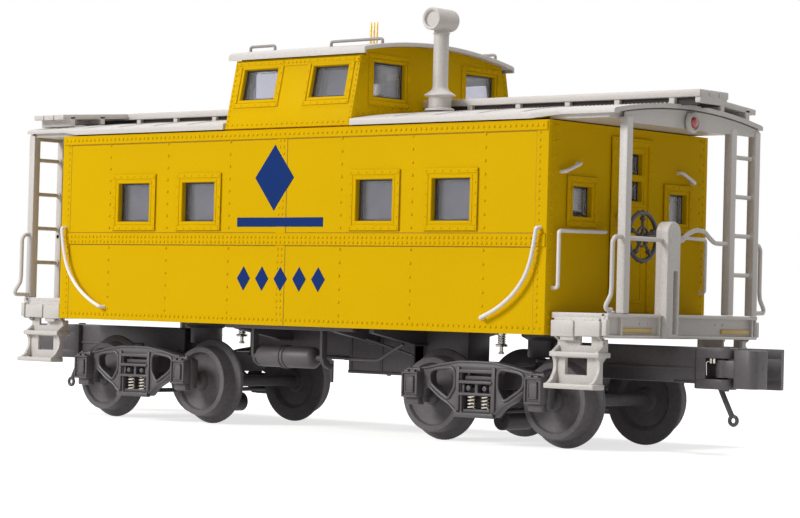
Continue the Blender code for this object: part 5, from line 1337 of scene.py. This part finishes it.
def knuckle_shapes():
    """The knuckle: hub between the lugs and a hooked nose with a round tip."""
    nose = KNUCKLE_NOSE
    hook = [(109.5, PIN_Y - 2.0), (nose - 1.2, PIN_Y - 2.4), (nose, PIN_Y - 1.2), (nose, PIN_Y + 3.0),
            (nose - 1.0, PIN_Y + 3.9), (nose - 3.4, PIN_Y + 3.6), (nose - 3.6, PIN_Y + 1.9),
            (109.5, PIN_Y + 1.9)]
    shapes = [pierced([shifted(rounded(hook, 0.7))], "Z", 14.6, 22.9, 0.3),
              lathe([(0, 16.85), (2.0, 16.85), (2.0, 20.65), (0, 20.65)], "Z", (PIN_X + SHIFT, PIN_Y, 0), 28),
              brick((PIN_X + SHIFT, 110.0 + SHIFT), (PIN_Y - 1.9, PIN_Y + 1.9), (16.85, 20.65), 0.3)]
    for z in (17.6, 18.7, 19.8):
        band = [(1.9, z - 0.12), (2.06, z - 0.08), (2.06, z + 0.08), (1.9, z + 0.12)]
        shapes.append(lathe(band, "Z", (PIN_X + SHIFT, PIN_Y, 0), 28, closed=True))
    shapes.append(domes([(nose + SHIFT - 0.2, PIN_Y + 1.2, 19.0)], (1, 0, 0), 0.7, 0.35))
    return shapes


at_trucks("knuckle_hook", knuckle_shapes(), CASTING, "knuckle", ["knuckle"])
bend = [(103.1 + SHIFT, -5.3, 17.3), (103.1 + SHIFT, -5.5, 20.2), (104.3 + SHIFT, -5.65, 20.35)]
spring_wire = tube(bent(bend, 0.4), 0.13, (0, 1, 0.1), 8)
stud = [(0, 19.9), (0.32, 19.9), (0.32, 20.9), (0, 21.0)]
studs = [lathe(stud, "Z", (x + SHIFT, -5.2, 0), 12) for x in (104.1, 104.95)]
at_trucks("coupler_spring", [spring_wire, *studs], BRIGHT, "truck")

# Floor, light and camera

FLOOR_SIZE = 12.0
ROOM_LIGHT = 0.24
PHOTO_WIDTH, FOCAL_PIXELS, SENSOR = 800.0, 2499.94, 36.0
CAMERA_PLACE = (0.405477, -0.457177, 0.031145)
CAMERA_ANGLES = (40.84, 1.01, 1.465)


def seen_directly(tree):
    """A factor of 1 for rays from the camera, from gloss and through glass, and 0 for other light."""
    path = add(tree, "ShaderNodeLightPath")
    first = add(tree, "ShaderNodeMath", operation="MAXIMUM")
    second = add(tree, "ShaderNodeMath", operation="MAXIMUM")
    tree.links.new(path.outputs["Is Camera Ray"], first.inputs[0])
    tree.links.new(path.outputs["Is Glossy Ray"], first.inputs[1])
    tree.links.new(first.outputs[0], second.inputs[0])
    tree.links.new(path.outputs["Is Transmission Ray"], second.inputs[1])
    return second.outputs[0]


def floor():
    """A wide pale floor; what is seen of it glows a little, more with the distance from the middle."""
    mesh = bpy.data.meshes.new("floor")
    reach = FLOOR_SIZE / 2
    corners = [(*corner, 0) for corner in box_outline((-reach, reach), (-reach, reach))]
    mesh.from_pydata(corners, [], [(0, 1, 2, 3)])
    material = bpy.data.materials.new("floor_white")
    material.use_nodes = True
    tree = material.node_tree
    shader = tree.nodes["Principled BSDF"]
    shader.inputs["Base Color"].default_value = (0.62, 0.61, 0.60, 1)
    shader.inputs["Roughness"].default_value = 0.9
    shader.inputs["Specular IOR Level"].default_value = 0.0
    shader.inputs["Emission Color"].default_value = (1, 1, 1, 1)
    place = add(tree, "ShaderNodeTexCoord")
    away = add(tree, "ShaderNodeVectorMath", operation="LENGTH")
    glow = add(tree, "ShaderNodeMapRange")
    for key, value in (("From Min", 0.25), ("From Max", 0.9), ("To Min", 0.72), ("To Max", 1.0)):
        glow.inputs[key].default_value = value
    level = add(tree, "ShaderNodeMath", operation="MULTIPLY")
    tree.links.new(place.outputs["Object"], away.inputs[0])
    tree.links.new(away.outputs["Value"], glow.inputs["Value"])
    tree.links.new(glow.outputs["Result"], level.inputs[1])
    tree.links.new(seen_directly(tree), level.inputs[0])
    tree.links.new(level.outputs[0], shader.inputs["Emission Strength"])
    mesh.materials.append(material)
    item = bpy.data.objects.new("floor", mesh)
    bpy.context.scene.collection.objects.link(item)


def world():
    """Even white light all round; what is seen of it directly is plain white."""
    setting = bpy.data.worlds.new("studio")
    setting.use_nodes = True
    tree = setting.node_tree
    background = tree.nodes["Background"]
    seen = seen_directly(tree)
    mix = add(tree, "ShaderNodeMapRange")
    mix.inputs["To Min"].default_value = ROOM_LIGHT
    mix.inputs["To Max"].default_value = 1.0
    tree.links.new(seen, mix.inputs["Value"])
    tree.links.new(mix.outputs["Result"], background.inputs["Strength"])
    background.inputs["Color"].default_value = (1, 1, 1, 1)
    bpy.context.scene.world = setting


def lamp(name, place, target, size, watts):
    """A round lamp at a place in metres, turned to its target."""
    data = bpy.data.lights.new(name, "AREA")
    data.shape = "DISK"
    data.size = size
    data.energy = watts
    item = bpy.data.objects.new(name, data)
    item.location = place
    direction = Matrix.Translation(target).translation - Matrix.Translation(place).translation
    item.rotation_euler = direction.to_track_quat("-Z", "Y").to_euler()
    bpy.context.scene.collection.objects.link(item)


def camera():
    """The photograph's viewpoint: place, heading, tilt and roll, with a long lens."""
    yaw, pitch, roll = (math.radians(angle) for angle in CAMERA_ANGLES)
    ahead = np.array([-math.sin(yaw) * math.cos(pitch), math.cos(yaw) * math.cos(pitch), math.sin(pitch)])
    right = np.array([math.cos(yaw), math.sin(yaw), 0.0])
    up = np.cross(right, ahead)
    level_right = math.cos(roll) * right + math.sin(roll) * up
    level_up = -math.sin(roll) * right + math.cos(roll) * up
    data = bpy.data.cameras.new("camera")
    data.sensor_width = SENSOR
    data.lens = FOCAL_PIXELS * SENSOR / PHOTO_WIDTH
    data.clip_start = 0.01
    item = bpy.data.objects.new("camera", data)
    turn = Matrix(np.stack([level_right, level_up, -ahead], 1).tolist()).to_4x4()
    item.matrix_world = Matrix.Translation(CAMERA_PLACE) @ turn
    bpy.context.scene.collection.objects.link(item)
    bpy.context.scene.camera = item


floor()
world()
lamp("key", (-0.45, -1.0, 0.62), (0, 0, 0.05), 0.5, 10.9)
lamp("top", (0.2, 0.0, 1.18), (0.02, 0, 0.05), 0.5, 8.0)
camera()
bpy.context.scene.view_settings.view_transform = "Standard"
